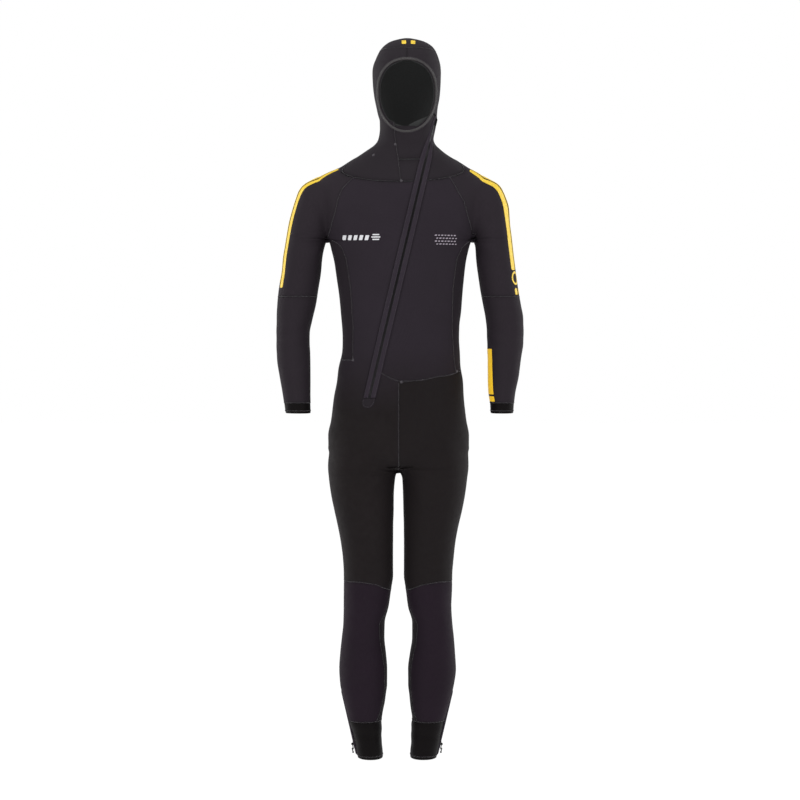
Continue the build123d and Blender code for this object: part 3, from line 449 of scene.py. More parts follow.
# ------------------------------------------------------------------ seam curves
RAGLAN = {-1: np.array([[ARM_Z[-1] - 2, -167.5], [1207, -165], [1228, -158], [1263, -147], [1291, -141], [1314, -131], [1340, -105], [1370, -74], [1391, -60], [1410, -52]], float),
          1: np.array([[ARM_Z[1] - 2, 168.5], [1207, 168], [1228, 163], [1251, 155], [1284, 146], [1307, 132], [1333, 118], [1361, 100], [1391, 88], [1410, 80]], float)}
SIDE = {-1: np.array([[860, -112], [885, -111], [921, -108], [996, -107], [1085, -113], [1152, -123], [1178, -133], [1190, -145], [ARM_Z[-1] + 0.5, -164]], float),
        1: np.array([[860, 131], [885, 130], [921, 124], [996, 119], [1085, 121], [1152, 130], [1178, 142], [1188, 152], [ARM_Z[1] + 0.5, 165]], float)}
THROAT = np.array([[1328, 2], [1370, -3], [1414, -9], [1442, -13], [1466, -14.5], [1480, -15]], float)
FACE_C, FACE_H = (16.0, 1525.8), (66.5, 81.0)


def tab(t):
    return lambda p: p[..., 0] - np.interp(p[..., 2], t[:, 0], t[:, 1])


def face_half(z):
    t = np.clip((z - FACE_C[1]) / FACE_H[1], -1, 1)
    return FACE_H[0] * np.sqrt(np.maximum(0.0, 1 - np.abs(t) ** 2.15)) * (1 + 0.10 * t)


class Curve:
    """A direction given row by row."""

    def __init__(self, v, a):
        o = np.argsort(v)
        self.v, self.a = np.asarray(v, float)[o], np.asarray(a, float)[o]

    def __call__(self, v):
        return np.interp(v, self.v, self.a)


TAPE = 14.6
tz = torso.v
zip_mid = Curve(tz, torso.cross(tz, lambda p: p[..., 0] - zip_x(p[..., 2]), -1.3, 1.62))
sel = (tz > 800) & (tz < 1530)
zip_edge = {s: Curve(tz[sel], torso.shift(tz[sel], zip_mid(tz[sel]), s * TAPE * 1.0277)) for s in (-1, 1)}


def torso_side(side, back=False):
    v = tz[(tz >= 860) & (tz <= ARM_Z[side] + 0.01)]
    a, b = (side * 0.25, side * PI / 2) if not back else (side * (PI - 0.25), side * PI / 2)
    return Curve(v, torso.cross(v, tab(SIDE[side]), a, b))


def torso_raglan(side, back=False):
    v = tz[(tz >= ARM_Z[side]) & (tz <= 1390)]
    a, b = (side * 0.12, side * PI / 2 + side * 0.05) if not back else (side * (PI - 0.12), side * PI / 2)
    return Curve(v, torso.cross(v, tab(RAGLAN[side]), a, b))


side_f = {s: torso_side(s) for s in (-1, 1)}
side_b = {s: torso_side(s, True) for s in (-1, 1)}
rag_f = {s: torso_raglan(s) for s in (-1, 1)}
rag_b = {s: torso_raglan(s, True) for s in (-1, 1)}


def joined(lo, hi, z):
    def f(v):
        v = np.asarray(v, float)
        return np.where(v < z, lo(v), hi(v))
    return f


edge_f = {s: joined(side_f[s], rag_f[s], ARM_Z[s]) for s in (-1, 1)}
edge_b = {s: joined(side_b[s], rag_b[s], ARM_Z[s]) for s in (-1, 1)}

# ------------------------------------------------------------------ mesh helpers
def srgb(r, g, b):
    f = lambda c: c / 12.92 if c <= 0.04045 else ((c + 0.055) / 1.055) ** 2.4
    return tuple(f(v / 255.0) for v in (r, g, b)) + (1.0,)


def make_mesh(name, verts, faces, mat, edge=None, smooth=True):
    """verts in millimetres; edge is 1 near a sewn edge and 0 away from it."""
    me = bpy.data.meshes.new(name)
    v = np.asarray(verts, float) / 1000.0
    me.from_pydata([tuple(q) for q in v], [], [tuple(int(i) for i in f) for f in faces])
    me.validate()
    a = me.attributes.new("rest", "FLOAT_VECTOR", "POINT")
    co = np.zeros(len(me.vertices) * 3, np.float32)
    me.vertices.foreach_get("co", co)
    a.data.foreach_set("vector", co)
    e = me.attributes.new("edge", "FLOAT", "POINT")
    if edge is not None and len(edge) == len(me.vertices):
        e.data.foreach_set("value", np.asarray(edge, np.float32))
    me.polygons.foreach_set("use_smooth", [bool(smooth)] * len(me.polygons))
    if smooth:
        me.set_sharp_from_angle(angle=math.radians(62))
    me.update()
    o = bpy.data.objects.new(name, me)
    scene.collection.objects.link(o)
    if mat is not None:
        me.materials.append(mat)
    return o


def grid_faces(r, c, off=0, flip=False, wrap=False):
    f = []
    cc = c if wrap else c - 1
    for i in range(r - 1):
        for j in range(cc):
            a, b = off + i * c + j, off + i * c + (j + 1) % c
            q = (a, b, b + c, a + c)
            f.append(q[::-1] if flip else q)
    return f


def grid_normals(p, wrap=False):
    du = np.gradient(p, axis=1) if not wrap else np.roll(p, -1, 1) - np.roll(p, 1, 1)
    dv = np.gradient(p, axis=0)
    n = np.cross(du, dv)
    l = np.linalg.norm(n, axis=2, keepdims=True)
    n = n / np.maximum(l, 1e-9)
    # where a row shrinks to nothing, borrow the neighbour's normal
    bad = l[..., 0] < 1e-7
    if bad.any():
        good = n[~bad].mean(0)
        n[bad] = good / (np.linalg.norm(good) + 1e-9)
    return n


def shell(p, inset, wall, n=None, wrap=False, inside_inset=0.0):
    """Closed sheet of fabric from a grid of outer points: outer face, inner face and edges."""
    if n is None:
        n = grid_normals(p, wrap)
    out = p - n * inset[..., None]
    inn = p - n * np.maximum(wall, inset + 0.6)[..., None] if np.ndim(wall) else p - n * np.maximum(wall, inset + 0.6)[..., None]
    r, c = p.shape[:2]
    verts = np.concatenate([out.reshape(-1, 3), inn.reshape(-1, 3)])
    k = r * c
    faces = grid_faces(r, c, 0, False, wrap) + grid_faces(r, c, k, True, wrap)
    for i in (0, r - 1):
        for j in range(c if wrap else c - 1):
            a, b = i * c + j, i * c + (j + 1) % c
            q = (a, k + a, k + b, b)
            faces.append(q if i == 0 else q[::-1])
    if not wrap:
        for j in (0, c - 1):
            for i in range(r - 1):
                a, b = i * c + j, (i + 1) * c + j
                q = (a, b, k + b, k + a)
                faces.append(q if j == 0 else q[::-1])
    return verts, faces


def outward(p, n, c):
    """1 if the grid's normals point away from c, else -1."""
    return 1.0 if np.sum((p - np.asarray(c, float)) * n) > 0 else -1.0


EDGE = np.array([0.0, 0.35, 0.9, 1.8, 3.2, 5.0])


def spaced(length, step, lo=True, hi=True):
    """Distances along a span, close together at the sewn ends."""
    if length < 1e-6:
        length = 1e-6
    s = min(1.0, length / 14.0)
    a = list(EDGE * s) if lo else [0.0]
    b = list(length - EDGE[::-1] * s) if hi else [length]
    n = max(1, int(round((b[0] - a[-1]) / step)))
    return np.array(a + list(np.linspace(a[-1], b[0], n + 1)[1:-1]) + b)


def rounding(d, depth=1.5, reach=3.4):
    t = np.clip(1 - np.asarray(d) / reach, 0, 1)
    return depth * (1 - np.sqrt(np.clip(1 - t * t, 0, 1)))


MAT = {}
BOUNDARY = {}


class Sheet:
    def __init__(self, lat, left, right):
        self.lat, self.left, self.right = lat, left, right

    def ends(self, v):
        return float(self.left(v)), float(self.right(v))


def build_panel(name, sheets, v0, v1, step=6.0, bottom=None, top=None, fade=70.0, lo=True, hi=True, le=True, re=True,
                wall=WALL, side_from=None, centre=(0, 0, 0), depth=0.95, side_reach=2.8, cols=None, lift=0.0):
    """One fabric panel. sheets: [(height, Sheet)], each used from its height up. bottom and top give dz(x) of the curved ends."""
    def sheet(v):
        s = sheets[0][1]
        for h, q in sheets:
            if v >= h:
                s = q
        return s
    vs = v0 + spaced(v1 - v0, step, lo, hi)
    dist_lo, dist_hi = vs - v0, v1 - vs
    widths, dense = [], []
    for v in vs:
        sh = sheet(v)
        a0, a1 = sh.ends(v)
        aa = np.linspace(a0, a1, 80)
        p = sh.lat.at(v, aa)
        l = np.concatenate([[0], np.cumsum(np.linalg.norm(np.diff(p, axis=0), axis=1))])
        widths.append(l[-1])
        dense.append((a0, a1, aa, l))
    w = max(widths)
    nmid = cols or max(3, int(round((w - 10) / step)))
    R = len(vs)
    base_l = EDGE if le else np.array([0.0])
    base_r = EDGE if re else np.array([0.0])
    C = len(base_l) + nmid - 1 + len(base_r)
    P = np.zeros((R, C, 3))
    D = np.zeros((R, C))
    for i, v in enumerate(vs):
        a0, a1, aa, l = dense[i]
        W = max(l[-1], 1e-6)
        s = min(1.0, W / 14.0)
        a = base_l * s
        b = W - base_r[::-1] * s
        d = np.concatenate([a, np.linspace(a[-1], b[0], nmid + 1)[1:-1], b])
        g = (np.interp(d, l, aa) - a0) / (a1 - a0) if abs(a1 - a0) > 1e-9 else d / W
        sh = sheet(v)
        p = sh.lat.at(v, a0 + (a1 - a0) * g)
        dz = np.zeros(C)
        if bottom is not None:
            dz = dz + bottom(p[:, 0]) * np.clip(1 - (v - v0) / fade, 0, 1)
        if top is not None:
            dz = dz + top(p[:, 0]) * np.clip(1 - (v1 - v) / fade, 0, 1)
        if np.abs(dz).max() > 1e-6:
            for j in range(C):
                vv = v + dz[j]
                sj = sheet(vv)
                b0, b1 = sj.ends(vv)
                p[j] = sj.lat.at(vv, b0 + (b1 - b0) * g[j])
        P[i] = p
        dl = d if le else np.full(C, 99.0)
        dr = W - d if re else np.full(C, 99.0)
        D[i] = np.minimum(dl, dr)
    dv = np.minimum(dist_lo if lo else np.full(R, 99.0), dist_hi if hi else np.full(R, 99.0))
    n = grid_normals(P)
    sg = outward(P, n, centre if centre != (0, 0, 0) else (P[..., 0].mean() * 0.55, 5.0, P[..., 2].mean()))
    if sg < 0:
        n = -n
    if side_from is not None:
        D = np.where(vs[:, None] >= side_from, D, 99.0)
    ins = np.maximum(rounding(D, depth, side_reach), rounding(dv[:, None] * np.ones((1, C)), depth))
    ins = ins - lift
    verts, faces = shell(P, ins, wall, n)
    if sg < 0:
        faces = [f[::-1] for f in faces]
    e = np.clip(1 - np.minimum(D, dv[:, None]) / 6.0, 0, 1).reshape(-1)
    return verts, faces, np.concatenate([e, np.zeros(len(e))])


def merge(parts):
    v, f, e, off = [], [], [], 0
    for a, b, c in parts:
        v.append(a)
        f += [tuple(i + off for i in q) for q in b]
        e.append(c if c is not None else np.zeros(len(a)))
        off += len(a)
    return np.concatenate(v), f, np.concatenate(e)


def tube_along(pts, radius, sides=5, closed=False):
    pts = np.asarray(pts, float)
    t = np.gradient(pts, axis=0) if not closed else np.roll(pts, -1, 0) - np.roll(pts, 1, 0)
    t /= np.linalg.norm(t, axis=1, keepdims=True) + 1e-9
    ref = np.array([0.31, -0.93, 0.2])
    u = np.cross(t, ref)
    u /= np.linalg.norm(u, axis=1, keepdims=True) + 1e-9
    w = np.cross(t, u)
    rad = np.broadcast_to(np.asarray(radius, float), (len(pts),))
    a = np.linspace(0, 2 * PI, sides, endpoint=False)
    p = pts[:, None] + rad[:, None, None] * (np.cos(a)[None, :, None] * u[:, None] + np.sin(a)[None, :, None] * w[:, None])
    verts = p.reshape(-1, 3)
    faces = grid_faces(len(pts), sides, 0, False, True)
    if closed:
        k = (len(pts) - 1) * sides
        faces += [(k + j, k + (j + 1) % sides, (j + 1) % sides, j) for j in range(sides)]
    else:
        k = (len(pts) - 1) * sides
        faces += [tuple(range(sides))[::-1], tuple(k + j for j in range(sides))]
    return verts, faces, np.zeros(len(verts))


def resample(pts, step):
    pts = np.asarray(pts, float)
    l = np.concatenate([[0], np.cumsum(np.linalg.norm(np.diff(pts, axis=0), axis=1))])
    n = max(2, int(round(l[-1] / step)) + 1)
    s = np.linspace(0, l[-1], n)
    return np.stack([np.interp(s, l, pts[:, i]) for i in range(3)], 1)


def smooth_line(pts, times=2):
    pts = np.asarray(pts, float).copy()
    for _ in range(times):
        pts[1:-1] = (pts[:-2] + 2 * pts[1:-1] + pts[2:]) / 4
    return pts


def surface_normals(pts, parts):
    g = grad(pts, parts)
    return g


def stitches(pts, parts, width=2.6, pitch=3.0, radius=0.33, lift=-0.2):
    """Zigzag sewing thread laid over a seam."""
    p = resample(pts, pitch / 2)
    n = surface_normals(p, parts)
    t = np.gradient(p, axis=0)
    t /= np.linalg.norm(t, axis=1, keepdims=True) + 1e-9
    b = np.cross(n, t)
    b /= np.linalg.norm(b, axis=1, keepdims=True) + 1e-9
    s = np.where(np.arange(len(p)) % 2 == 0, 1.0, -1.0)[:, None]
    q = p + b * s * width / 2 + n * lift
    mid = (q[:-1] + q[1:]) / 2 + n[:-1] * 0.30
    out = np.zeros((len(q) * 2 - 1, 3))
    out[0::2], out[1::2] = q, mid
    return tube_along(out, radius, 4)


def dashes(pts, n, length=2.2, gap=1.2, radius=0.32, lift=0.1):
    """Straight lockstitch: short raised thread loops in a line."""
    p = resample(pts, 0.6)
    nn = np.stack([np.interp(np.linspace(0, 1, len(p)), np.linspace(0, 1, len(n)), n[:, i]) for i in range(3)], 1)
    k = max(2, int(round(length / 0.6)))
    g = max(1, int(round(gap / 0.6)))
    out = []
    i = 0
    while i + k < len(p):
        seg = p[i:i + k + 1]
        m = nn[i:i + k + 1]
        h = np.sin(np.linspace(0, PI, len(seg))) * 0.35
        q = seg + m * (lift + h)[:, None]
        out.append(tube_along(q[[0, len(q) // 2, len(q) - 1]], [0.14, radius, 0.14], 4))
        i += k + g
    return merge(out)


def dot(c, n, r=3.2, h=0.7, k=14):
    """Bar-tack dot: a small domed disc of thread."""
    n = n / np.linalg.norm(n)
    u = np.cross(n, [0, 0, 1.0])
    u /= np.linalg.norm(u)
    w = np.cross(n, u)
    v, f = [c + n * (h)], []
    for q, hh in ((0.45, h * 0.95), (0.8, h * 0.7), (1.0, h * 0.15), (1.02, -1.2)):
        for i in range(k):
            a = 2 * PI * i / k
            v.append(c + (u * math.cos(a) + w * math.sin(a)) * r * q + n * hh)
    for i in range(k):
        f.append((0, 1 + i, 1 + (i + 1) % k))
    for ring in range(3):
        for i in range(k):
            a, b = 1 + ring * k + i, 1 + ring * k + (i + 1) % k
            f.append((a, a + k, b + k, b))
    f.append(tuple(1 + 3 * k + i for i in range(k)))
    return np.array(v), f, np.zeros(len(v))


# ------------------------------------------------------------------ materials
def nodes_of(name):
    m = bpy.data.materials.new(name)
    m.use_nodes = True
    nt = m.node_tree
    nt.nodes.clear()
    out = nt.nodes.new("ShaderNodeOutputMaterial")
    bs = nt.nodes.new("ShaderNodeBsdfPrincipled")
    nt.links.new(bs.outputs[0], out.inputs[0])
    return m, nt, bs


def link(nt, a, b):
    nt.links.new(a, b)


def coords(nt, rest=True):
    if rest:
        c = nt.nodes.new("ShaderNodeAttribute")
        c.attribute_name = "rest"
        return c.outputs["Vector"]
    c = nt.nodes.new("ShaderNodeTexCoord")
    return c.outputs["Object"]


def noise(nt, vec, scale, detail=3.0, rough=0.55):
    n = nt.nodes.new("ShaderNodeTexNoise")
    n.inputs["Scale"].default_value = scale
    n.inputs["Detail"].default_value = detail
    n.inputs["Roughness"].default_value = rough
    link(nt, vec, n.inputs["Vector"])
    return n.outputs["Fac"]


def ramp(nt, fac, stops):
    r = nt.nodes.new("ShaderNodeValToRGB")
    el = r.color_ramp.elements
    while len(el) > len(stops):
        el.remove(el[-1])
    while len(el) < len(stops):
        el.new(0.5)
    for e, (p, c) in zip(el, stops):
        e.position, e.color = p, c
    link(nt, fac, r.inputs["Fac"])
    return r.outputs["Color"]


def mathn(nt, op, a, b):
    m = nt.nodes.new("ShaderNodeMath")
    m.operation = op
    for i, v in enumerate((a, b)):
        if hasattr(v, "links"):
            link(nt, v, m.inputs[i])
        else:
            m.inputs[i].default_value = v
    return m.outputs[0]


def mixc(nt, fac, a, b, mode="MIX"):
    m = nt.nodes.new("ShaderNodeMix")
    m.data_type = "RGBA"
    m.blend_type = mode
    for i, v in ((0, fac), (6, a), (7, b)):
        if hasattr(v, "links"):
            link(nt, v, m.inputs[i])
        else:
            m.inputs[i].default_value = v
    return m.outputs[2]


def scaled(c, k):
    return tuple(min(1.0, v * k) for v in c[:3]) + (1.0,)


def fabric(name, colour, rough=0.76, sheen=0.14, knit=760.0, depth=0.00022, vary=0.14, stretch=0.62, rest=True, edge_dark=0.55, spec=0.35, sheen_rough=0.45, tint=None, low=None):
    """Nylon jersey laminated on neoprene: fine knitted ribs, a light nap, slight mottling, and painted shade darkening
    the sewn edges.
    """
    m, nt, bs = nodes_of(name)
    vec = coords(nt, rest)
    mp = nt.nodes.new("ShaderNodeMapping")
    mp.inputs["Scale"].default_value = (1.0, 1.0, stretch)
    link(nt, vec, mp.inputs["Vector"])
    vo = nt.nodes.new("ShaderNodeTexVoronoi")
    vo.inputs["Scale"].default_value = knit
    vo.inputs["Randomness"].default_value = 0.35
    link(nt, mp.outputs[0], vo.inputs["Vector"])
    ribs = vo.outputs["Distance"]
    broad = noise(nt, vec, 9.0, 4.0, 0.6)
    mid = noise(nt, vec, 70.0, 3.0, 0.6)
    fine = noise(nt, vec, 420.0, 2.0, 0.6)
    c = ramp(nt, broad, [(0.28, scaled(colour, 1 - vary)), (0.72, scaled(colour, 1 + vary))])
    c = mixc(nt, 0.35, c, ramp(nt, mid, [(0.3, scaled(colour, 0.82)), (0.7, scaled(colour, 1.2))]))
    c = mixc(nt, 0.30, c, ramp(nt, ribs, [(0.0, scaled(colour, 1.5)), (0.55, scaled(colour, 0.62))]))
    if tint is not None:
        c = mixc(nt, mathn(nt, "MULTIPLY", broad, 0.35), c, tint)
    if low is not None:
        # darker below the waist: the low colour up to 0.80 m, blending into the upper colour by 0.95 m
        sep = nt.nodes.new("ShaderNodeSeparateXYZ")
        link(nt, vec, sep.inputs[0])
        mr = nt.nodes.new("ShaderNodeMapRange")
        mr.inputs[1].default_value = 0.80
        mr.inputs[2].default_value = 0.95
        link(nt, sep.outputs[2], mr.inputs[0])
        under = ramp(nt, broad, [(0.28, scaled(low, 1 - vary)), (0.72, scaled(low, 1 + vary))])
        c = mixc(nt, mr.outputs[0], under, c)
    if rest:
        e = nt.nodes.new("ShaderNodeAttribute")
        e.attribute_name = "edge"
        # painted shade: the fabric darkens towards each sewn edge, where the seam groove is, down to 0.45 of its colour
        edge_shade = mathn(nt, "MULTIPLY", e.outputs["Fac"], edge_dark)
        c = mixc(nt, edge_shade, c, scaled(colour, 0.45))
        # a line mask just inside the sewn edge, weighted by zero and not used
        band = mathn(nt, "MULTIPLY", mathn(nt, "COMPARE", e.outputs["Fac"], 0.42), 0.0)
    link(nt, c, bs.inputs["Base Color"])
    r = ramp(nt, mid, [(0.25, (rough - 0.06,) * 3 + (1,)), (0.75, (min(1, rough + 0.07),) * 3 + (1,))])
    link(nt, r, bs.inputs["Roughness"])
    bs.inputs["Specular IOR Level"].default_value = spec * 0.42
    bs.inputs["Sheen Weight"].default_value = sheen * 0.16
    bs.inputs["Sheen Roughness"].default_value = sheen_rough
    bs.inputs["Sheen Tint"].default_value = (0.92, 0.90, 0.95, 1)
    h = mathn(nt, "ADD", mathn(nt, "MULTIPLY", ribs, -1.0), mathn(nt, "MULTIPLY", fine, 0.6))
    b1 = nt.nodes.new("ShaderNodeBump")
    b1.inputs["Strength"].default_value = 0.55
    b1.inputs["Distance"].default_value = depth
    link(nt, h, b1.inputs["Height"])
    b2 = nt.nodes.new("ShaderNodeBump")
    b2.inputs["Strength"].default_value = 0.35
    b2.inputs["Distance"].default_value = 0.0016
    link(nt, noise(nt, vec, 26.0, 4.0, 0.55), b2.inputs["Height"])
    link(nt, b1.outputs[0], b2.inputs["Normal"])
    link(nt, b2.outputs[0], bs.inputs["Normal"])
    return m


def rubber(name, colour, rough=0.42, rest=True, scale=300.0, depth=0.0001, spec=0.5):
    m, nt, bs = nodes_of(name)
    vec = coords(nt, rest)
    n1, n2 = noise(nt, vec, 40.0, 4.0), noise(nt, vec, scale, 3.0)
    c = ramp(nt, n1, [(0.3, scaled(colour, 0.85)), (0.7, scaled(colour, 1.2))])
    link(nt, c, bs.inputs["Base Color"])
    r = ramp(nt, n2, [(0.3, (rough - 0.08,) * 3 + (1,)), (0.7, (rough + 0.1,) * 3 + (1,))])
    link(nt, r, bs.inputs["Roughness"])
    bs.inputs["Specular IOR Level"].default_value = spec
    b = nt.nodes.new("ShaderNodeBump")
    b.inputs["Strength"].default_value = 0.5
    b.inputs["Distance"].default_value = depth
    link(nt, n2, b.inputs["Height"])
    link(nt, b.outputs[0], bs.inputs["Normal"])
    return m


def metal(name, colour, rough=0.35, metallic=0.85, rest=True):
    m, nt, bs = nodes_of(name)
    vec = coords(nt, rest)
    n1 = noise(nt, vec, 220.0, 4.0)
    n2 = noise(nt, vec, 900.0, 2.0)
    c = ramp(nt, n1, [(0.35, scaled(colour, 0.8)), (0.65, scaled(colour, 1.25))])
    link(nt, c, bs.inputs["Base Color"])
    bs.inputs["Metallic"].default_value = metallic
    link(nt, ramp(nt, n2, [(0.3, (rough - 0.1,) * 3 + (1,)), (0.7, (rough + 0.12,) * 3 + (1,))]), bs.inputs["Roughness"])
    b = nt.nodes.new("ShaderNodeBump")
    b.inputs["Strength"].default_value = 0.25
    b.inputs["Distance"].default_value = 0.00006
    link(nt, n2, b.inputs["Height"])
    link(nt, b.outputs[0], bs.inputs["Normal"])
    return m


def cord_mat(name, colour, rest=True):
    m, nt, bs = nodes_of(name)
    vec = coords(nt, rest)
    w = nt.nodes.new("ShaderNodeTexWave")
    w.wave_type = "BANDS"
    w.bands_direction = "DIAGONAL"
    w.inputs["Scale"].default_value = 260.0
    w.inputs["Distortion"].default_value = 1.5
    link(nt, vec, w.inputs["Vector"])
    c = ramp(nt, w.outputs["Fac"], [(0.2, scaled(colour, 0.55)), (0.8, scaled(colour, 1.25))])
    c = mixc(nt, 0.3, c, ramp(nt, noise(nt, vec, 600.0), [(0.3, scaled(colour, 0.7)), (0.7, scaled(colour, 1.3))]))
    link(nt, c, bs.inputs["Base Color"])
    bs.inputs["Roughness"].default_value = 0.8
    bs.inputs["Sheen Weight"].default_value = 0.3
    b = nt.nodes.new("ShaderNodeBump")
    b.inputs["Strength"].default_value = 0.8
    b.inputs["Distance"].default_value = 0.0003
    link(nt, w.outputs["Fac"], b.inputs["Height"])
    link(nt, b.outputs[0], bs.inputs["Normal"])
    return m


def printed(name, colour, rough=0.5):
    """Screen-printed ink over jersey: the knit shows through, with tiny pinholes and scuffs."""
    m, nt, bs = nodes_of(name)
    vec = coords(nt, True)
    vo = nt.nodes.new("ShaderNodeTexVoronoi")
    vo.inputs["Scale"].default_value = 760.0
    vo.inputs["Randomness"].default_value = 0.35
    link(nt, vec, vo.inputs["Vector"])
    n1 = noise(nt, vec, 130.0, 4.0)
    c = ramp(nt, n1, [(0.25, scaled(colour, 0.86)), (0.6, scaled(colour, 1.04))])
    c = mixc(nt, 0.18, c, ramp(nt, vo.outputs["Distance"], [(0.1, scaled(colour, 1.05)), (0.6, scaled(colour, 0.7))]))
    link(nt, c, bs.inputs["Base Color"])
    bs.inputs["Roughness"].default_value = rough
    b = nt.nodes.new("ShaderNodeBump")
    b.inputs["Strength"].default_value = 0.4
    b.inputs["Distance"].default_value = 0.00015
    link(nt, vo.outputs["Distance"], b.inputs["Height"])
    link(nt, b.outputs[0], bs.inputs["Normal"])
    return m


BODY = srgb(47, 43, 48)
M_BODY = fabric("jersey_body", srgb(39, 33, 40), tint=srgb(43, 35, 45), low=srgb(25, 20, 21))
M_SIDE = fabric("jersey_side", srgb(35, 29, 35), vary=0.10)
M_THIGH = fabric("jersey_thigh", srgb(25, 20, 21))
M_SLEEVE = fabric("jersey_sleeve", srgb(40, 34, 40))
M_HOOD = fabric("jersey_hood", srgb(38, 33, 38), sheen=0.22)
M_SHIN = fabric("jersey_shin", srgb(29, 20, 29), vary=0.10, tint=srgb(37, 22, 38))
M_CALF = fabric("jersey_calf", srgb(26, 20, 25), vary=0.10)
M_SEAL = fabric("glide_cuff", srgb(13, 9, 10), rough=0.60, sheen=0.25, knit=1000.0, depth=0.00012, spec=0.2)
M_RIM = rubber("smooth_rim", srgb(50, 47, 48), 0.5, scale=500.0)
M_LINING = fabric("plush_lining", srgb(50, 51, 51), rough=0.9, sheen=0.5, knit=420.0, depth=0.0005)
# painted light: a faint grey glow brightens the lining inside the shaded hood
bs_ = next(n_ for n_ in M_LINING.node_tree.nodes if n_.type == "BSDF_PRINCIPLED")
bs_.inputs["Emission Color"].default_value = (0.0135, 0.0137, 0.0137, 1)
bs_.inputs["Emission Strength"].default_value = 0.75
M_FLAP = fabric("zip_flap", srgb(36, 31, 36), knit=900.0)
M_TAPE = fabric("zip_band", srgb(47, 40, 49), knit=1100.0, sheen=0.15)
M_CHAIN = rubber("zip_teeth", srgb(20, 19, 20), 0.32, scale=900.0, depth=0.00004)
M_THREAD = cord_mat("sewing_thread", srgb(62, 57, 63))
M_YELLOW = printed("print_yellow_ink", srgb(253, 214, 62))
M_AMBER = printed("print_amber_ink", srgb(254, 208, 48))
# painted light: a faint orange glow brightens the amber print where it lies in shade on the inner forearm
ba_ = next(n_ for n_ in M_AMBER.node_tree.nodes if n_.type == "BSDF_PRINCIPLED")
ba_.inputs["Emission Color"].default_value = (1.0, 0.52, 0.02, 1)
ba_.inputs["Emission Strength"].default_value = 0.22
M_WHITE = printed("print_white_ink", srgb(222, 222, 226))
M_GREY = printed("print_grey_ink", srgb(168, 158, 170))
M_METAL = metal("zip_hardware_metal", srgb(26, 26, 28), 0.40, 0.75, rest=False)
M_PULL = metal("zip_puller_metal", srgb(34, 34, 36), 0.38, 0.8, rest=False)
M_CORD = cord_mat("pull_cord_weave", srgb(64, 67, 66), rest=False)
M_GUSSET = rubber("gusset_rubber", srgb(30, 28, 29), 0.6, rest=False)

SHOULDER = {s: dict(a="torso", b="upper_arm_" + t, start=(s * 0.23, 0, 1.195), end=(s * 0.23, 0, 1.075)) for s, t in ((-1, "right"), (1, "left"))}
ELBOW = {s: dict(a="upper_arm_" + t, b="forearm_" + t, start=(s * 0.245, 0, 1.05), end=(s * 0.245, 0, 0.91)) for s, t in ((-1, "right"), (1, "left"))}
_d = {s: np.array([s * 0.35, 0, -0.94]) / math.hypot(0.35, 0.94) for s in (-1, 1)}
HIPB = {s: dict(a="torso", b="thigh_" + t, start=(-0.003, 0, 0.672), end=tuple(np.array([-0.003, 0, 0.672]) + _d[s] * 0.15)) for s, t in ((-1, "right"), (1, "left"))}
KNEE = {s: dict(a="thigh_" + t, b="shin_" + t, start=(s * 0.078, 0, 0.392), end=(s * 0.078, 0, 0.245)) for s, t in ((-1, "right"), (1, "left"))}
TAG = {-1: "right", 1: "left"}


PANELS = []


def put(name, data, mat, body=None, bend=None, nodes=(), smooth=True):
    v, f, e = data
    if name.startswith(("suit_", "hood_")) and name != "hood_lining":
        PANELS.append((np.asarray(v, float), f))
    o = make_mesh(name, v, f, mat, e, smooth)
    if bend is not None:
        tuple(bend["start"])
        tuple(bend["end"])
        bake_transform(o)
    else:
        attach(o, body)
    if nodes:
        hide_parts(*nodes)
    return o

# ------------------------------------------------------------------ leg and arm seam directions
def const(x):
    return lambda v: np.full(np.shape(v), float(x)) if np.ndim(v) else float(x)


side_mid = {s: Curve(tz[tz < 960], torso.cross(tz[tz < 960], lambda p: p[..., 1] - 5.0, s * 0.5, s * 2.4)) for s in (-1, 1)}
xc_fun = lambda p: p[..., 0] - XC
ctr_front = Curve(tz[tz < 960], torso.cross(tz[tz < 960], xc_fun, -0.6, 0.6))
ctr_back = Curve(tz[tz < 960], torso.cross(tz[tz < 960], xc_fun, PI - 0.6, PI + 0.6))

leg_cf, leg_cb = {}, {}
for s in (-1, 1):
    L = LEG[s]
    hi = L.v[L.v >= LEG_Z - 0.01]
    a = L.cross(hi, xc_fun, 0.0, -s * (PI / 2 + 0.03))
    b = L.cross(hi, xc_fun, -s * PI, -s * (PI / 2 - 0.03))
    lo = L.v[L.v < LEG_Z - 0.01]
    w = np.clip((LEG_Z - lo) / 60.0, 0, 1)
    w = w * w * (3 - 2 * w)
    leg_cf[s] = Curve(np.concatenate([lo, hi]), np.concatenate([a[0] * (1 - w) - s * PI / 2 * w, a]))
    leg_cb[s] = Curve(np.concatenate([lo, hi]), np.concatenate([b[0] * (1 - w) - s * PI / 2 * w, b]))
    print("LEGSEAM", s, a[:4], b[:4])


def zip_side(s):
    """Edge of the panel beside the zip; the two sides meet below the end of the chain."""
    v = tz[(tz > 795) & (tz < 1530)]
    ss = s * TAPE * 1.0277 * np.clip((v - 819) / 12, 0, 1)
    return Curve(v, torso.shift(v, zip_mid(v), ss))


zs_ = {s: zip_side(s) for s in (-1, 1)}

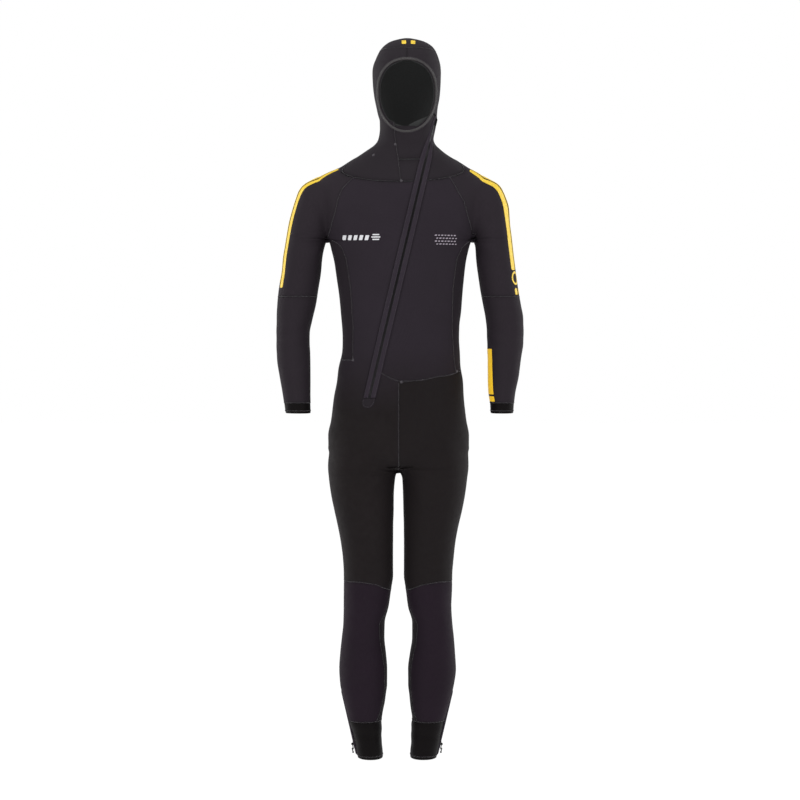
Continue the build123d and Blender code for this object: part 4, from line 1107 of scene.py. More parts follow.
WAIST = np.array([[-60, 900], [-41, 892], [-14, 876], [3, 871], [20, 874], [51, 875.5], [70, 880], [88, 885.5], [110, 884], [131, 894], [150, 895]], float)
WAIST_B = np.array([[-160, 921], [-107, 921], [-60, 908], [0, 900], [70, 897], [131, 895], [160, 895]], float)
waist = lambda x: sum(np.interp(x + d_, WAIST[:, 0], WAIST[:, 1]) for d_ in (-14, -7, 0, 7, 14)) / 5.0
waist_b = lambda x: np.interp(x, WAIST_B[:, 0], WAIST_B[:, 1])
KNEE_R = np.array([[-140, 410], [-124, 411.8], [-90, 413], [-56, 407.8], [-25, 392.5], [-10, 388]], float)
KNEE_L = np.array([[0, 390], [20, 393.5], [51, 407], [89, 413], [112, 411.8], [130, 410]], float)
KNEE_C = {-1: lambda x: np.interp(x, KNEE_R[:, 0], KNEE_R[:, 1]), 1: lambda x: np.interp(x, KNEE_L[:, 0], KNEE_L[:, 1])}


# build_panel hands its end curves the x of each point
def panel(*a, **k):
    return build_panel(*a, **k)


DONE = {}
# ---- torso
front_right = merge([
    panel("fr_up", [(0, Sheet(torso, zs_[-1], edge_f[-1]))], 921.0, 1384.0, lo=False),
    panel("fr_mid", [(0, Sheet(torso, zs_[-1], side_mid[-1]))], 813.0, 921.0, lo=False, hi=False),
    panel("fr_gore", [(0, Sheet(torso, ctr_front, zs_[1]))], 813.0, 885.0, lo=False, top=lambda x: waist(x) - 885, fade=60),
    panel("fr_leg", [(0, Sheet(LEG[-1], leg_cf[-1], const(-PI / 2)))], 402.0, 813.0, hi=False, bottom=lambda x: KNEE_C[-1](x) - 402, fade=60),
])
put("suit_front_right", front_right, M_BODY, bend=HIPB[-1], nodes=("front_panel_right", "thigh_front_right"))
put("suit_front_left", panel("fl", [(0, Sheet(torso, zs_[1], edge_f[1]))], 885.0, 1384.0, bottom=lambda x: waist(x) - 885, fade=60), M_BODY, body="torso", nodes=("front_panel_left",))
for s, v0 in ((-1, 921.0), (1, 895.0)):
    put("suit_side_" + TAG[s], panel("side", [(0, Sheet(torso, edge_f[s], edge_b[s]))], v0, ARM_Z[s] - 0.2, cols=16), M_SIDE, body="torso", nodes=("side_panel_" + TAG[s],))
put("suit_back", panel("back", [(0, Sheet(torso, edge_b[1], lambda v: edge_b[-1](v) + 2 * PI))], 885.0, 1384.0, bottom=lambda x: waist_b(x) - 885, fade=60), M_BODY, body="torso", nodes=("back_panel",))

# ---- legs
for s in (-1, 1):
    t = TAG[s]
    if s > 0:
        put("suit_thigh_front_left", panel("thigh", [(0, Sheet(LEG[1], leg_cf[1], const(PI / 2))), (813, Sheet(torso, ctr_front, side_mid[1]))], 402.0, 885.0,
            bottom=lambda x: KNEE_C[1](x) - 402, top=lambda x: waist(x) - 885, fade=60), M_THIGH, bend=HIPB[1], nodes=("thigh_front_left",))
    cb = leg_cb[s]
    back_leg = Sheet(LEG[s], const(s * PI / 2), (lambda v, c=cb, s=s: c(v) + s * 2 * PI))
    back_hip = Sheet(torso, side_mid[s], (ctr_back if s > 0 else (lambda v: ctr_back(v) - 2 * PI)))
    put("suit_thigh_back_" + t, panel("thighb", [(0, back_leg), (813, back_hip)], 402.0, 885.0, bottom=lambda x, s=s: KNEE_C[s](x) - 402,
        top=lambda x: waist_b(x) - 885, fade=60), M_THIGH, bend=HIPB[s], nodes=("thigh_back_" + t,))
    L = LEG[s]
    put("crotch_gusset_" + t, panel("gus", [(0, Sheet(L, leg_cf[s], (lambda v, c=leg_cb[s]: c(v))))], LEG_Z - 56, LEG_Z - 0.2, step=4, cols=12, le=False, re=False, centre=(s * 82.0, 5.0, LEG_Z - 30)), M_THIGH, bend=HIPB[s])
    v = L.v[L.v < 420]
    gap = np.where(v < 153, 12.6, np.where(v > 160, 0, 12.6 * (160 - v) / 7))
    inner = np.interp(v, [88, 118, 200, 312, 340, 375, 402], [38, 28, 34, 46, 30, 12, 0])
    out_f = Curve(v, L.shift(v, np.full(len(v), s * PI / 2), -s * gap))
    out_b = Curve(v, L.shift(v, np.full(len(v), s * PI / 2), s * gap))
    inn = Curve(v, L.shift(v, np.full(len(v), -s * PI / 2), s * inner))
    DONE["shin", s] = (out_f, out_b, inn)
    inn_b = (lambda vv, c=inn, s=s: c(vv) + s * 2 * PI)
    put("suit_shin_" + t, panel("shin", [(0, Sheet(L, inn, out_f))], 87.5, 402.0, step=5.0, top=lambda x, s=s: KNEE_C[s](x) - 402, fade=60), M_SHIN, bend=KNEE[s], nodes=("shin_panel_" + t,))
    put("suit_calf_" + t, panel("calf", [(0, Sheet(L, out_b, inn_b))], 87.5, 402.0, step=5.0, top=lambda x, s=s: KNEE_C[s](x) - 402, fade=60), M_CALF, bend=KNEE[s], nodes=("calf_panel_" + t,))
    cuff = panel("cuff", [(0, Sheet(L, out_b, lambda vv, c=out_f, s=s: c(vv) + s * 2 * PI))], 0.4, 86.6, step=4.0, wall=3.0, depth=1.1, lift=-0.5)
    hem_v = np.array([0.6, 2.0, 6.6, 7.6, 8.8])
    put("ankle_seal_" + t, cuff, M_SEAL, body="shin_" + t, nodes=("ankle_cuff_" + t,))

# ---- arms
arm_in, rag_af, rag_ab = {}, {}, {}
for s in (-1, 1):
    A = ARM[s]
    t = TAG[s]
    hi = A.v[A.v >= ARM_Z[s]]
    f = A.cross(hi, tab(RAGLAN[s]), s * PI / 2, -s * (PI / 2 + 0.15))
    b = A.cross(hi, tab(RAGLAN[s]), s * PI / 2, s * (3 * PI / 2 + 0.15))
    print("ARMSEAM", s, f[:4], b[:4])
    rag_af[s], rag_ab[s] = Curve(hi, f), Curve(hi, b)
    put("suit_sleeve_" + t, merge([
        panel("sleeve", [(0, Sheet(A, rag_af[s], rag_ab[s]))], 1067.0, 1384.0, step=5.5, side_from=ARM_Z[s]),
        panel("under", [(0, Sheet(A, (lambda v, c=rag_ab[s], s=s: c(v) - s * 2 * PI), rag_af[s]))], 1067.0, ARM_Z[s] - 0.2, step=5.5, side_from=9999, cols=14, centre=(s * 222.0, 5.0, 1130.0))]), M_SLEEVE, bend=SHOULDER[s], nodes=("upper_sleeve_" + t,))
    put("suit_forearm_" + t, panel("forearm", [(0, Sheet(A, const(-s * PI / 2), const(s * 3 * PI / 2)))], 823.0, 1066.6, step=5.5), M_SLEEVE, bend=ELBOW[s], nodes=("forearm_sleeve_" + t,))
    put("wrist_seal_" + t, panel("wrist", [(0, Sheet(A, const(-s * PI / 2), const(s * 3 * PI / 2)))], 798.2, 822.6, step=4.0, wall=3.0, depth=1.0, lift=-0.5), M_SEAL, body="forearm_" + t, nodes=("wrist_cuff_" + t,))

# ---- neck and hood
hz = tz[(tz >= 1380)]
throat = Curve(hz[hz < 1475], torso.cross(hz[hz < 1475], tab(THROAT), -1.4, 0.4))
face_z = hz[(hz > 1453) & (hz < 1616)]
face_r = Curve(face_z, torso.cross(face_z, lambda p: p[..., 0] - (FACE_C[0] - face_half(p[..., 2])), 0.05, -1.5))
face_l = Curve(face_z, torso.cross(face_z, lambda p: p[..., 0] - (FACE_C[0] + face_half(p[..., 2])), -0.05, 1.5))
nape = {s: Curve(hz, torso.cross(hz, lambda p, s=s: p[..., 0] - (16 + s * 38.0), s * (PI - 0.05), s * PI / 2)) for s in (-1, 1)}


def hood_front_r(v):
    v = np.asarray(v, float)
    w = np.clip((v - 1463) / 5, 0, 1)
    a = throat(v) * (1 - w) + face_r(v) * w
    return np.where(v > 1613.3, 0.0, a)


def hood_front_l(v):
    v = np.asarray(v, float)
    w = np.clip((v - 1479) / 12, 0, 1)
    a = zs_[1](v) * (1 - w) + face_l(v) * w
    return np.where(v > 1613.3, 0.0, a)


_zz = np.linspace(1454.6, 1534, 120)
lower_edge = lambda x: np.interp(np.abs(x - FACE_C[0]), face_half(_zz), _zz)
chin_top = lambda x: np.minimum(lower_edge(x), 1483.0) - 1468.0
put("hood_right", panel("hr", [(0, Sheet(torso, hood_front_r, nape[-1]))], 1386.0, 1636.0, step=4.5), M_HOOD, body="torso", nodes=("hood_side_right",))
put("hood_left", panel("hl", [(0, Sheet(torso, hood_front_l, nape[1]))], 1386.0, 1636.0, step=4.5), M_HOOD, body="torso", nodes=("hood_side_left",))
put("hood_throat", panel("th", [(0, Sheet(torso, throat, zs_[-1]))], 1386.0, 1413.4, step=4.5), M_HOOD, body="torso", nodes=("throat_panel",))
put("hood_chin", panel("ch", [(0, Sheet(torso, throat, zs_[-1]))], 1414.6, 1468.0, step=4.0, top=chin_top, fade=40), M_HOOD, body="torso", nodes=("chin_panel",))
put("hood_nape", panel("np", [(0, Sheet(torso, nape[1], lambda v: nape[-1](v) + 2 * PI))], 1386.0, 1636.0, step=5), M_HOOD, body="torso", nodes=("hood_back_strip",))


def dome(v0, inset0, closed=True):
    vs = np.concatenate([v0 + EDGE * 0.8, np.linspace(1642, 1666.2, 16)])
    vs = np.unique(np.concatenate([vs, [1663.5, 1664.6, 1665.6]]))
    n = 72
    a = np.linspace(-PI, PI, n, endpoint=False)
    P = np.stack([torso.at(v, a) for v in vs])
    c = P[-1].mean(0)
    P = np.concatenate([P, P[-1:] * 0.5 + np.array([c[0], c[1], c[2] + 0.5]) * 0.5])
    d = np.concatenate([vs - v0, [99.0]])
    ins = rounding(d, 1.5)[:, None] * np.ones((1, n)) + inset0
    nn = grid_normals(P, True)
    nn = nn * outward(P, nn, (16, 8, 1600))
    out, inn = P - nn * ins[..., None], P - nn * (ins + WALL)[..., None]
    k = len(P) * n
    f = grid_faces(len(P), n, 0, False, True) + grid_faces(len(P), n, k, True, True)
    top = out[-1].mean(0) + [0, 0, 0.4]
    low = inn[-1].mean(0)
    verts = np.concatenate([out.reshape(-1, 3), inn.reshape(-1, 3), [top, low]])
    b = (len(P) - 1) * n
    for j in range(n):
        j1 = (j + 1) % n
        f.append((b + j, b + j1, 2 * k))
        f.append((k + b + j1, k + b + j, 2 * k + 1))
        f.append((j, k + j, k + j1, j1))
    return verts, f, np.concatenate([(np.clip(1 - d / 6, 0, 1)[:, None] * np.ones((1, n))).reshape(-1), np.zeros(k + 2)])


put("hood_top", dome(1636.6, 0.0), M_HOOD, body="torso", nodes=("hood_crown",))

# inner lining of the hood, seen through the face opening
vs = np.concatenate([np.arange(1392, 1640, 6.0), np.arange(1640, 1664, 3.0)])
P = []
for v in vs:
    a0 = float(hood_front_l(v)) if v > 1456 else 0.0
    a1 = float(hood_front_r(v)) + 2 * PI if v > 1456 else 2 * PI
    if v > 1456 and v < 1492:
        a0 = float(np.interp(v, [1456, 1492], [0.0, a0]))
    P.append(torso.at(v, np.linspace(a0, a1, 64)))
P = np.array(P)
n = grid_normals(P)
n = n * outward(P, n, (16, 8, 1530))
verts, faces = shell(P, np.full(P.shape[:2], 5.0), 5.8, n)
put("hood_lining", (verts, faces, None), M_LINING, body="torso")

# rolled rim of the face opening
k = 150
a = np.linspace(0, 2 * PI, k, endpoint=False) - PI / 2
sgn = lambda q, e: np.sign(q) * np.abs(q) ** e
rx = FACE_C[0] + FACE_H[0] * sgn(np.cos(a), 0.93) * (1 + 0.10 * np.sin(a))
rz = FACE_C[1] + FACE_H[1] * sgn(np.sin(a), 0.93)
rp = front(rx, rz, ("core",), y0=8.0)
rn = grad(rp, ("core",))
rn = rn + 0.8 * np.array([0, -1.0, 0])
rn /= np.linalg.norm(rn, axis=1, keepdims=True)
for _ in range(3):
    rp = (np.roll(rp, 1, 0) + 2 * rp + np.roll(rp, -1, 0)) / 4
    rn = (np.roll(rn, 1, 0) + 2 * rn + np.roll(rn, -1, 0)) / 4
rt = np.roll(rp, -1, 0) - np.roll(rp, 1, 0)
rt /= np.linalg.norm(rt, axis=1, keepdims=True)
re_ = np.cross(rt, rn)
re_ /= np.linalg.norm(re_, axis=1, keepdims=True)
if np.sum(re_ * (rp - np.array([16, 0, 1534]))) < 0:
    re_ = -re_
prof = np.array([[-1.2, -6.5], [-2.6, -4.0], [-3.1, -1.6], [-2.6, 0.6], [-1.2, 1.9], [0.6, 2.3], [2.4, 1.9], [3.4, 1.35], [4.0, 1.5], [6.2, 1.35], [7.2, 0.9], [7.7, 0.0], [7.6, -1.6], [3.0, -3.6], [0.8, -6.2]])
prof[:, 0] = np.where(prof[:, 0] > 0, prof[:, 0] * 0.58, prof[:, 0] * 0.4)
R = rp[:, None] + prof[None, :, :1] * re_[:, None] + prof[None, :, 1:] * rn[:, None]
fcs = grid_faces(k, len(prof), 0, False, True)
q = (k - 1) * len(prof)
fcs += [(q + j, q + (j + 1) % len(prof), (j + 1) % len(prof), j) for j in range(len(prof))]
put("face_rim", (R.reshape(-1, 3), fcs, None), M_RIM, body="torso", nodes=("face_seal",))
RIM = rp + re_ * 5.0 + rn * 1.3
RIMN = rn

# ------------------------------------------------------------------ front zip
zv = torso.v[(torso.v > 800) & (torso.v < 1600)]
mid_all = torso.at(zv, zip_mid(zv))
v_of_z = lambda z: np.interp(z, mid_all[:, 2], zv)
zrow = np.array([v_of_z(z) for z in np.linspace(836, 1480, 190)])
_arc = []
for v in zrow:
    a0 = float(zip_mid(v))
    aa = a0 + np.linspace(-0.75, 0.75, 161)
    p = torso.at(v, aa)
    l = np.concatenate([[0], np.cumsum(np.linalg.norm(np.diff(p, axis=0), axis=1))])
    _arc.append((aa, l - l[80]))


def zip_pts(s):
    """Points of the body beside the zip, s millimetres across it, for every station."""
    return np.array([torso.at(v, np.interp(s * 1.0277, l, aa)) for v, (aa, l) in zip(zrow, _arc)])


_c = smooth_line(zip_pts(0.0), 6)
_l, _r = smooth_line(zip_pts(-14.0), 6), smooth_line(zip_pts(14.0), 6)
zt = np.gradient(_c, axis=0)
zt /= np.linalg.norm(zt, axis=1, keepdims=True)
zb = _r - _l
zb /= np.linalg.norm(zb, axis=1, keepdims=True)
zn = np.cross(zb, zt)
zn /= np.linalg.norm(zn, axis=1, keepdims=True)
if np.sum(zn[:, 1]) > 0:
    zn = -zn


def strip(profile, closed=True, sel=slice(None), taper=None):
    """Long piece swept along the zip; profile lists (across, out)."""
    pr = np.asarray(profile, float)
    rows_ = []
    for s, l in pr:
        base = smooth_line(zip_pts(s), 4)
        rows_.append(base + zn * l)
    P = np.stack(rows_, 1)[sel]
    c = P.shape[1]
    f = grid_faces(P.shape[0], c, 0, False, True)
    e = (P.shape[0] - 1) * c
    f += [tuple(range(c))[::-1], tuple(e + j for j in range(c))]
    return P.reshape(-1, 3), f, None


for s, t in ((-1, "right"), (1, "left")):
    band = [(2.5, -2.6), (2.3, -0.6), (2.6, 0.5), (3.3, 0.95), (4.1, 0.9), (4.9, 0.75), (6.4, 1.45), (7.9, 2.0), (9.4, 2.05), (11.0, 1.6), (11.9, 0.85), (12.5, 1.05), (13.4, 0.9), (14.1, 0.2), (14.4, -1.0), (14.4, -2.8)]
    put("zip_band_" + t, strip([(s * a_, b_) for a_, b_ in band]), M_TAPE, body="torso", nodes=("front_zip_tape_" + t,))
    th = []
    L_ = np.concatenate([[0], np.cumsum(np.linalg.norm(np.diff(_c, axis=0), axis=1))])
    pos = np.arange(4 + (0 if s < 0 else 1.35), L_[-1] - 4, 2.7)
    for d in pos:
        c = np.array([np.interp(d, L_, _c[:, i]) for i in range(3)])
        b_, t_, n_ = (np.array([np.interp(d, L_, q[:, i]) for i in range(3)]) for q in (zb, zt, zn))
        c = c + b_ * s * 1.0 - n_ * 0.5
        k8 = []
        for h in (-1.0, 0.62):
            for x, y in ((-1.55, -0.5), (-1.15, -0.78), (1.0, -0.62), (1.3, -0.3), (1.3, 0.3), (1.0, 0.62), (-1.15, 0.78), (-1.55, 0.5)):
                q = 0.82 if h > 0 else 1.0
                k8.append(c + b_ * x * s * -1 * q + t_ * y * q + n_ * h)
        f8 = [tuple(range(8))[::-1], tuple(range(8, 16))] + [(i, (i + 1) % 8, 8 + (i + 1) % 8, 8 + i) for i in range(8)]
        th.append((np.array(k8), f8, np.zeros(16)))
    v_, f_, e_ = merge(th)
    put("zip_teeth_" + t, (v_, f_, e_), M_CHAIN, body="torso", nodes=("front_zip_chain_" + t,), smooth=False)
    # two rows of lockstitch on each band
    rowsx = []
    for off, li in ((4.35, 1.0), (12.2, 0.98)):
        line = smooth_line(zip_pts(s * off), 4) + zn * li
        rowsx.append(dashes(line, zn, 2.4, 1.2, 0.36, 0.0))
    put("zip_stitching_" + t, merge(rowsx), M_THREAD, body="torso")
put("zip_under_flap", strip([(-15, -7.6), (-13, -6.6), (0, -6.2), (13, -6.6), (15, -7.6), (13, -9.2), (0, -9.4), (-13, -9.2)], sel=slice(0, 170)), M_FLAP, body="torso", nodes=("front_zip_underflap",))


# rounded end flap over the zip's lower end
def end_flap():
    c0 = _c[0]
    t0, b0, n0 = zt[0], zb[0], zn[0]
    nu, nv = 25, 21
    rows_ = []
    for i in range(nv):
        w = i / (nv - 1)
        y = -1.5 - w * 23.0          # along the zip, up to down
        r = 14.7
        half = r if y > -9.8 else r * math.sqrt(max(0.0, 1 - ((-9.8 - y) / 14.72) ** 2)) * 0.999 + 0.15
        xs = np.linspace(-1, 1, nu) * half
        pts = []
        for x in xs:
            p = c0 + t0 * y + b0 * x
            q = front(np.array([p[0]]), np.array([p[2]]), ("core",))[0]
            edge = min(1.0, (half - abs(x)) / 2.2, (y + 24.6) / 2.2, (-1.3 - y) / 1.2)
            hgt = 0.75 * math.sqrt(max(0.0, 1 - (1 - max(0.0, min(1.0, edge))) ** 2)) + 0.2
            pts.append(q + n0 * hgt)
        rows_.append(pts)
    P = np.array(rows_)
    inn = P - n0 * 0
    for i in range(nv):
        for j in range(nu):
            q = front(np.array([P[i, j, 0]]), np.array([P[i, j, 2]]), ("core",))[0]
            inn[i, j] = q - n0 * 1.5
    k = nu * nv
    f = grid_faces(nv, nu, 0) + grid_faces(nv, nu, k, True)
    for i in (0, nv - 1):
        for j in range(nu - 1):
            a_, b_ = i * nu + j, i * nu + j + 1
            f.append((a_, b_, k + b_, k + a_))
    for j in (0, nu - 1):
        for i in range(nv - 1):
            a_, b_ = i * nu + j, (i + 1) * nu + j
            f.append((a_, b_, k + b_, k + a_))
    ring = []
    for ang in np.linspace(0, PI, 22):
        x, y = math.cos(ang) * 12.2, -9.8 - math.sin(ang) * 12.2
        ring.append((x, y))
    line = [(12.2, -3)] + ring + [(-12.2, -3)]
    pts = np.array([c0 + t0 * y + b0 * x for x, y in line])
    q = front(pts[:, 0], pts[:, 2], ("core",)) + n0 * 0.95
    return (np.concatenate([P.reshape(-1, 3), inn.reshape(-1, 3)]), f, None), q, n0


fl, fl_line, fl_n = end_flap()
put("zip_end_cover", fl, M_FLAP, body="torso", nodes=("front_zip_end_flap",))
put("zip_end_stitching", dashes(fl_line, np.tile(fl_n, (len(fl_line), 1)), 2.2, 1.2, 0.36, 0.0), M_THREAD, body="torso")

# ------------------------------------------------------------------ ankle zips
ANKLE = {-1: (np.array([-101.5, -2.0, 7.0]), np.array([-137.5, 8.0, 158.0])), 1: (np.array([87.5, -2.0, 7.0]), np.array([124.0, 8.0, 158.0]))}
for s in (-1, 1):
    t = TAG[s]
    a0, a1 = ANKLE[s]
    u = (a1 - a0) / np.linalg.norm(a1 - a0)
    nr = np.array([s, 0.0, 0.0]) - s * u[0] * u
    nr /= np.linalg.norm(nr)
    la = np.cross(u, nr)
    F = lambda x, y, z: a0 + la * x + u * y + nr * z
    bands, thr, teeth = [], [], []
    ys = np.linspace(0, 150, 40)
    for sd in (-1, 1):
        prof_ = [(2.4, -2.6), (2.2, -0.8), (2.8, 0.3), (4.4, 0.6), (5.2, 0.25), (6.4, 0.75), (8.6, 0.95), (10.6, 0.6), (11.5, -0.2), (13.2, -1.6), (13.0, -3.4), (8, -3.6)]
        P = np.array([[F(sd * x, y, z - 1.6 * (1 - min(1.0, min(y, 150 - y) / 5)) * 0.4) for x, z in prof_] for y in ys])
        c = len(prof_)
        f = grid_faces(len(ys), c, 0, False, True)
        e = (len(ys) - 1) * c
        f += [tuple(range(c))[::-1], tuple(e + j for j in range(c))]
        bands.append((P.reshape(-1, 3), f, np.zeros(len(ys) * c)))
        for off, li in ((5.2, -0.27), (11.0, 0.1)):
            line = np.array([F(sd * off, y, li) for y in np.linspace(3, 147, 60)])
            thr.append(dashes(line, np.tile(nr, (60, 1)), 2.2, 1.2, 0.32, 0.1))
        for d in np.arange(6 + (0 if sd < 0 else 1.2), 144, 2.4):
            k8 = []
            for h in (-1.3, 0.25):
                for x, y in ((-1.35, -0.42), (-1.0, -0.68), (0.9, -0.55), (1.2, -0.25), (1.2, 0.25), (0.9, 0.55), (-1.0, 0.68), (-1.35, 0.42)):
                    q = 0.82 if h > 0 else 1.0
                    k8.append(F(sd * (1.0 - x * q), d + y * q, h - 0.2))
            f8 = [tuple(range(8))[::-1], tuple(range(8, 16))] + [(i, (i + 1) % 8, 8 + (i + 1) % 8, 8 + i) for i in range(8)]
            teeth.append((np.array(k8), f8, np.zeros(16)))
    put("ankle_zip_bands_" + t, merge(bands), M_TAPE, body="shin_" + t, nodes=("ankle_zip_tapes_" + t,))
    put("ankle_zip_teeth_" + t, merge(teeth), M_CHAIN, body="shin_" + t, nodes=("ankle_zip_chains_" + t,), smooth=False)
    put("ankle_zip_stitching_" + t, merge(thr), M_THREAD, body="shin_" + t)
    P = np.array([[F(x, y, -6.2 + 1.0 * math.cos(x / 13 * PI / 2) + 0.4 * math.sin(y / 7)) for x in np.linspace(-13, 13, 9)] for y in np.linspace(1, 151, 34)])
    n = grid_normals(P)
    n = n * (1.0 if np.sum(n * nr) > 0 else -1.0)
    vv, ff = shell(P, np.zeros(P.shape[:2]), 2.0, n)
    put("ankle_gusset_" + t, (vv, ff, None), M_CALF, body="shin_" + t, nodes=("ankle_zip_gusset_" + t,))

# ------------------------------------------------------------------ crotch gusset patch, inside
g = []
for yy in np.linspace(-26, 36, 14):
    row_ = []
    for xx in np.linspace(-11, 11, 9):
        row_.append([XC + xx, yy, 678 + 2.2 * math.cos(xx / 11 * PI / 2) - 0.6 * abs(math.sin(yy / 9.0))])
    g.append(row_)
P = np.array(g)
n = grid_normals(P)
n = n * (1.0 if n[..., 2].sum() > 0 else -1.0)
vv, ff = shell(P, np.zeros(P.shape[:2]), 3.0, n)
put("crotch_patch", (vv, ff, None), M_SIDE, body="torso", nodes=("crotch_gusset",))

# ------------------------------------------------------------------ sewn seams
def seam_from(lat, curve, v0, v1, step=4.0):
    v = np.linspace(v0, v1, max(3, int(abs(v1 - v0) / step)))
    return lat.at(v, np.array([float(curve(q)) for q in v]))


def across(lat, v, a0, a1, dz=None, n=60):
    """Seam running round the garment near row v from direction a0 to a1."""
    aa = np.linspace(a0, a1, n)
    p = lat.at(np.full(n, v), aa)
    if dz is not None:
        vv = v + dz(p[:, 0])
        p = lat.at(vv, aa)
    return p


def seam(name, lines, parts, body=None, bend=None, mat=None, width=2.6):
    put(name, merge([stitches(l, parts, width) for l in lines]), mat or M_THREAD, body=body, bend=bend)


for s in (-1, 1):
    t = TAG[s]
    seam("seam_raglan_" + t, [seam_from(torso, edge_f[s], ARM_Z[s] + 1, 1384), seam_from(torso, edge_b[s], ARM_Z[s] + 1, 1384)], UP, body="torso")
    v0 = 921.0 if s < 0 else 895.0
    seam("seam_side_" + t, [seam_from(torso, edge_f[s], v0, ARM_Z[s] - 1), seam_from(torso, edge_b[s], v0, ARM_Z[s] - 1),
                            across(torso, v0, float(edge_f[s](v0)), float(edge_b[s](v0)))], ("core",), body="torso")
    A = ARM[s]
    seam("seam_elbow_" + t, [across(A, 1066.8, -s * PI / 2, s * 3 * PI / 2, n=120)], ("armr" if s < 0 else "arml",), body="upper_arm_" + t)
    seam("seam_wrist_" + t, [across(A, 822.8, -s * PI / 2, s * 3 * PI / 2, n=90), across(A, 804.5, -s * PI / 2, s * 3 * PI / 2, n=90)], ("armr" if s < 0 else "arml",), body="forearm_" + t)
    L = LEG[s]
    lname = "legr" if s < 0 else "legl"
    hip = [seam_from(L, const(s * PI / 2), 412, 812)]
    if True:
        hip.append(seam_from(L, leg_cf[s], 410, LEG_Z - 4))
    seam("seam_leg_" + t, hip, HIP, bend=HIPB[s])
    seam("seam_knee_" + t, [across(L, 402, -s * PI / 2, s * 3 * PI / 2, dz=lambda x, s=s: KNEE_C[s](x) - 402, n=130)], (lname,), body="thigh_" + t)
    of, ob, inn = DONE["shin", s]
    seam("seam_shin_" + t, [seam_from(L, inn, 89, 394), seam_from(L, const(s * PI / 2), 165, 404)], (lname,), bend=KNEE[s])
    seam("seam_ankle_" + t, [across(L, 87.2, float(ob(87.2)), float(of(87.2)) + s * 2 * PI, n=110), across(L, 7.5, float(ob(7.5)), float(of(7.5)) + s * 2 * PI, n=90)], (lname,), body="shin_" + t)
seam("seam_waist", [across(torso, 885, float(zs_[1](885)), float(side_f[1](886)), dz=lambda x: waist(x) - 885, n=90)], ("core",), body="torso", width=3.4)
seam("seam_centre_front", [seam_from(torso, ctr_front, 870, 813.5), seam_from(LEG[1], leg_cf[1], 812.5, LEG_Z + 3)], HIP, body="torso")
seam("seam_centre_back", [seam_from(torso, ctr_back, 898, 813.5), seam_from(LEG[1], leg_cb[1], 812.5, LEG_Z + 3)], HIP, body="torso")
seam("seam_back_waist", [across(torso, 885, float(side_mid[1](900)), float(side_mid[-1](900)) + 2 * PI, dz=lambda x: waist_b(x) - 885, n=120)], ("core",), body="torso")
seam("seam_collar", [across(torso, 1385, float(zs_[1](1385)), float(zs_[-1](1385)) + 2 * PI, n=170)], UP, body="torso")
seam("seam_throat", [seam_from(torso, throat, 1387, 1464), across(torso, 1414, float(throat(1414)), float(zs_[-1](1414)))], ("core",), body="torso")
seam("seam_hood", [seam_from(torso, nape[1], 1387, 1635), seam_from(torso, nape[-1], 1387, 1635), across(torso, 1636.4, -PI, PI, n=130)], ("core",), body="torso")
put("face_rim_stitching", dashes(np.concatenate([RIM, RIM[:1]]), np.concatenate([RIMN, RIMN[:1]]), 2.4, 1.4, 0.30, 0.05), M_THREAD, body="torso")

# bar-tack dots where seams meet
dots = []
for x, z in ((-11, 1415), (3, 1329.5), (-61, 1391), (-107, 921.5), (131, 895), (3, 872)):
    p = front(x, z, ("core",) if z < 1320 else UP, y0=5.0)[None] if False else front(np.array([x]), np.array([z]), ("core",), y0=5.0)
    dots.append(dot(p[0], grad(p, ("core",))[0]))
put("bar_tacks", merge(dots), M_THREAD, body="torso")

# ------------------------------------------------------------------ printed marks
TREE = []


def settle(pts, n):
    """Move points onto the sewn panels, along the surface normals."""
    if not TREE:
        vv, ff, k = [], [], 0
        for a_, b_ in PANELS:
            vv.append(a_)
            ff += [tuple(int(i) + k for i in q) for q in b_]
            k += len(a_)
        TREE.append(BVHTree.FromPolygons([tuple(q) for q in np.concatenate(vv)], ff))
    out = pts.copy()
    for i in np.ndindex(pts.shape[:-1]):
        p_, n_ = pts[i], n[i]
        hit = TREE[0].ray_cast(tuple(p_ + n_ * 7.0), tuple(-n_), 14.0)[0]
        if hit is not None:
            out[i] = hit
    return out


def sheet_on(pts, lift=0.45, thick=0.5, parts=UP):
    """Thin printed film over a grid of surface points."""
    n = grad(pts.reshape(-1, 3), parts).reshape(pts.shape)
    pts = settle(pts, n)
    out = pts + n * lift
    inn = pts - n * thick
    r, c = pts.shape[:2]
    k = r * c
    f = grid_faces(r, c, 0) + grid_faces(r, c, k, True)
    for i in (0, r - 1):
        for j in range(c - 1):
            a_, b_ = i * c + j, i * c + j + 1
            q = (a_, k + a_, k + b_, b_)
            f.append(q if i == 0 else q[::-1])
    for j in (0, c - 1):
        for i in range(r - 1):
            a_, b_ = i * c + j, (i + 1) * c + j
            q = (a_, b_, k + b_, k + a_)
            f.append(q if j == 0 else q[::-1])
    v = np.concatenate([out.reshape(-1, 3), inn.reshape(-1, 3)])
    nn = np.cross(pts[0, 1] - pts[0, 0], pts[1, 0] - pts[0, 0])
    if np.dot(nn, n[0, 0]) < 0:
        f = [q[::-1] for q in f]
    return v, f, None


SIL = {-1: [(333, 165.5), (339, 168), (321, 174), (307, 180), (302, 186), (298, 192), (296, 198), (293, 208), (291, 216), (289, 224), (288, 232), (286, 240), (285, 248), (283, 256), (282, 264), (281, 272), (280, 280), (279, 288), (278, 296), (277, 304)],
       1: [(473, 168.6), (470, 168), (483, 174), (495, 180), (501, 186), (504, 192), (506, 198), (507, 208), (509, 216), (510, 224), (511, 232), (512, 240), (513, 248), (514, 256), (516, 264), (517, 272), (518, 280), (519, 288), (520, 296), (521, 304)]}


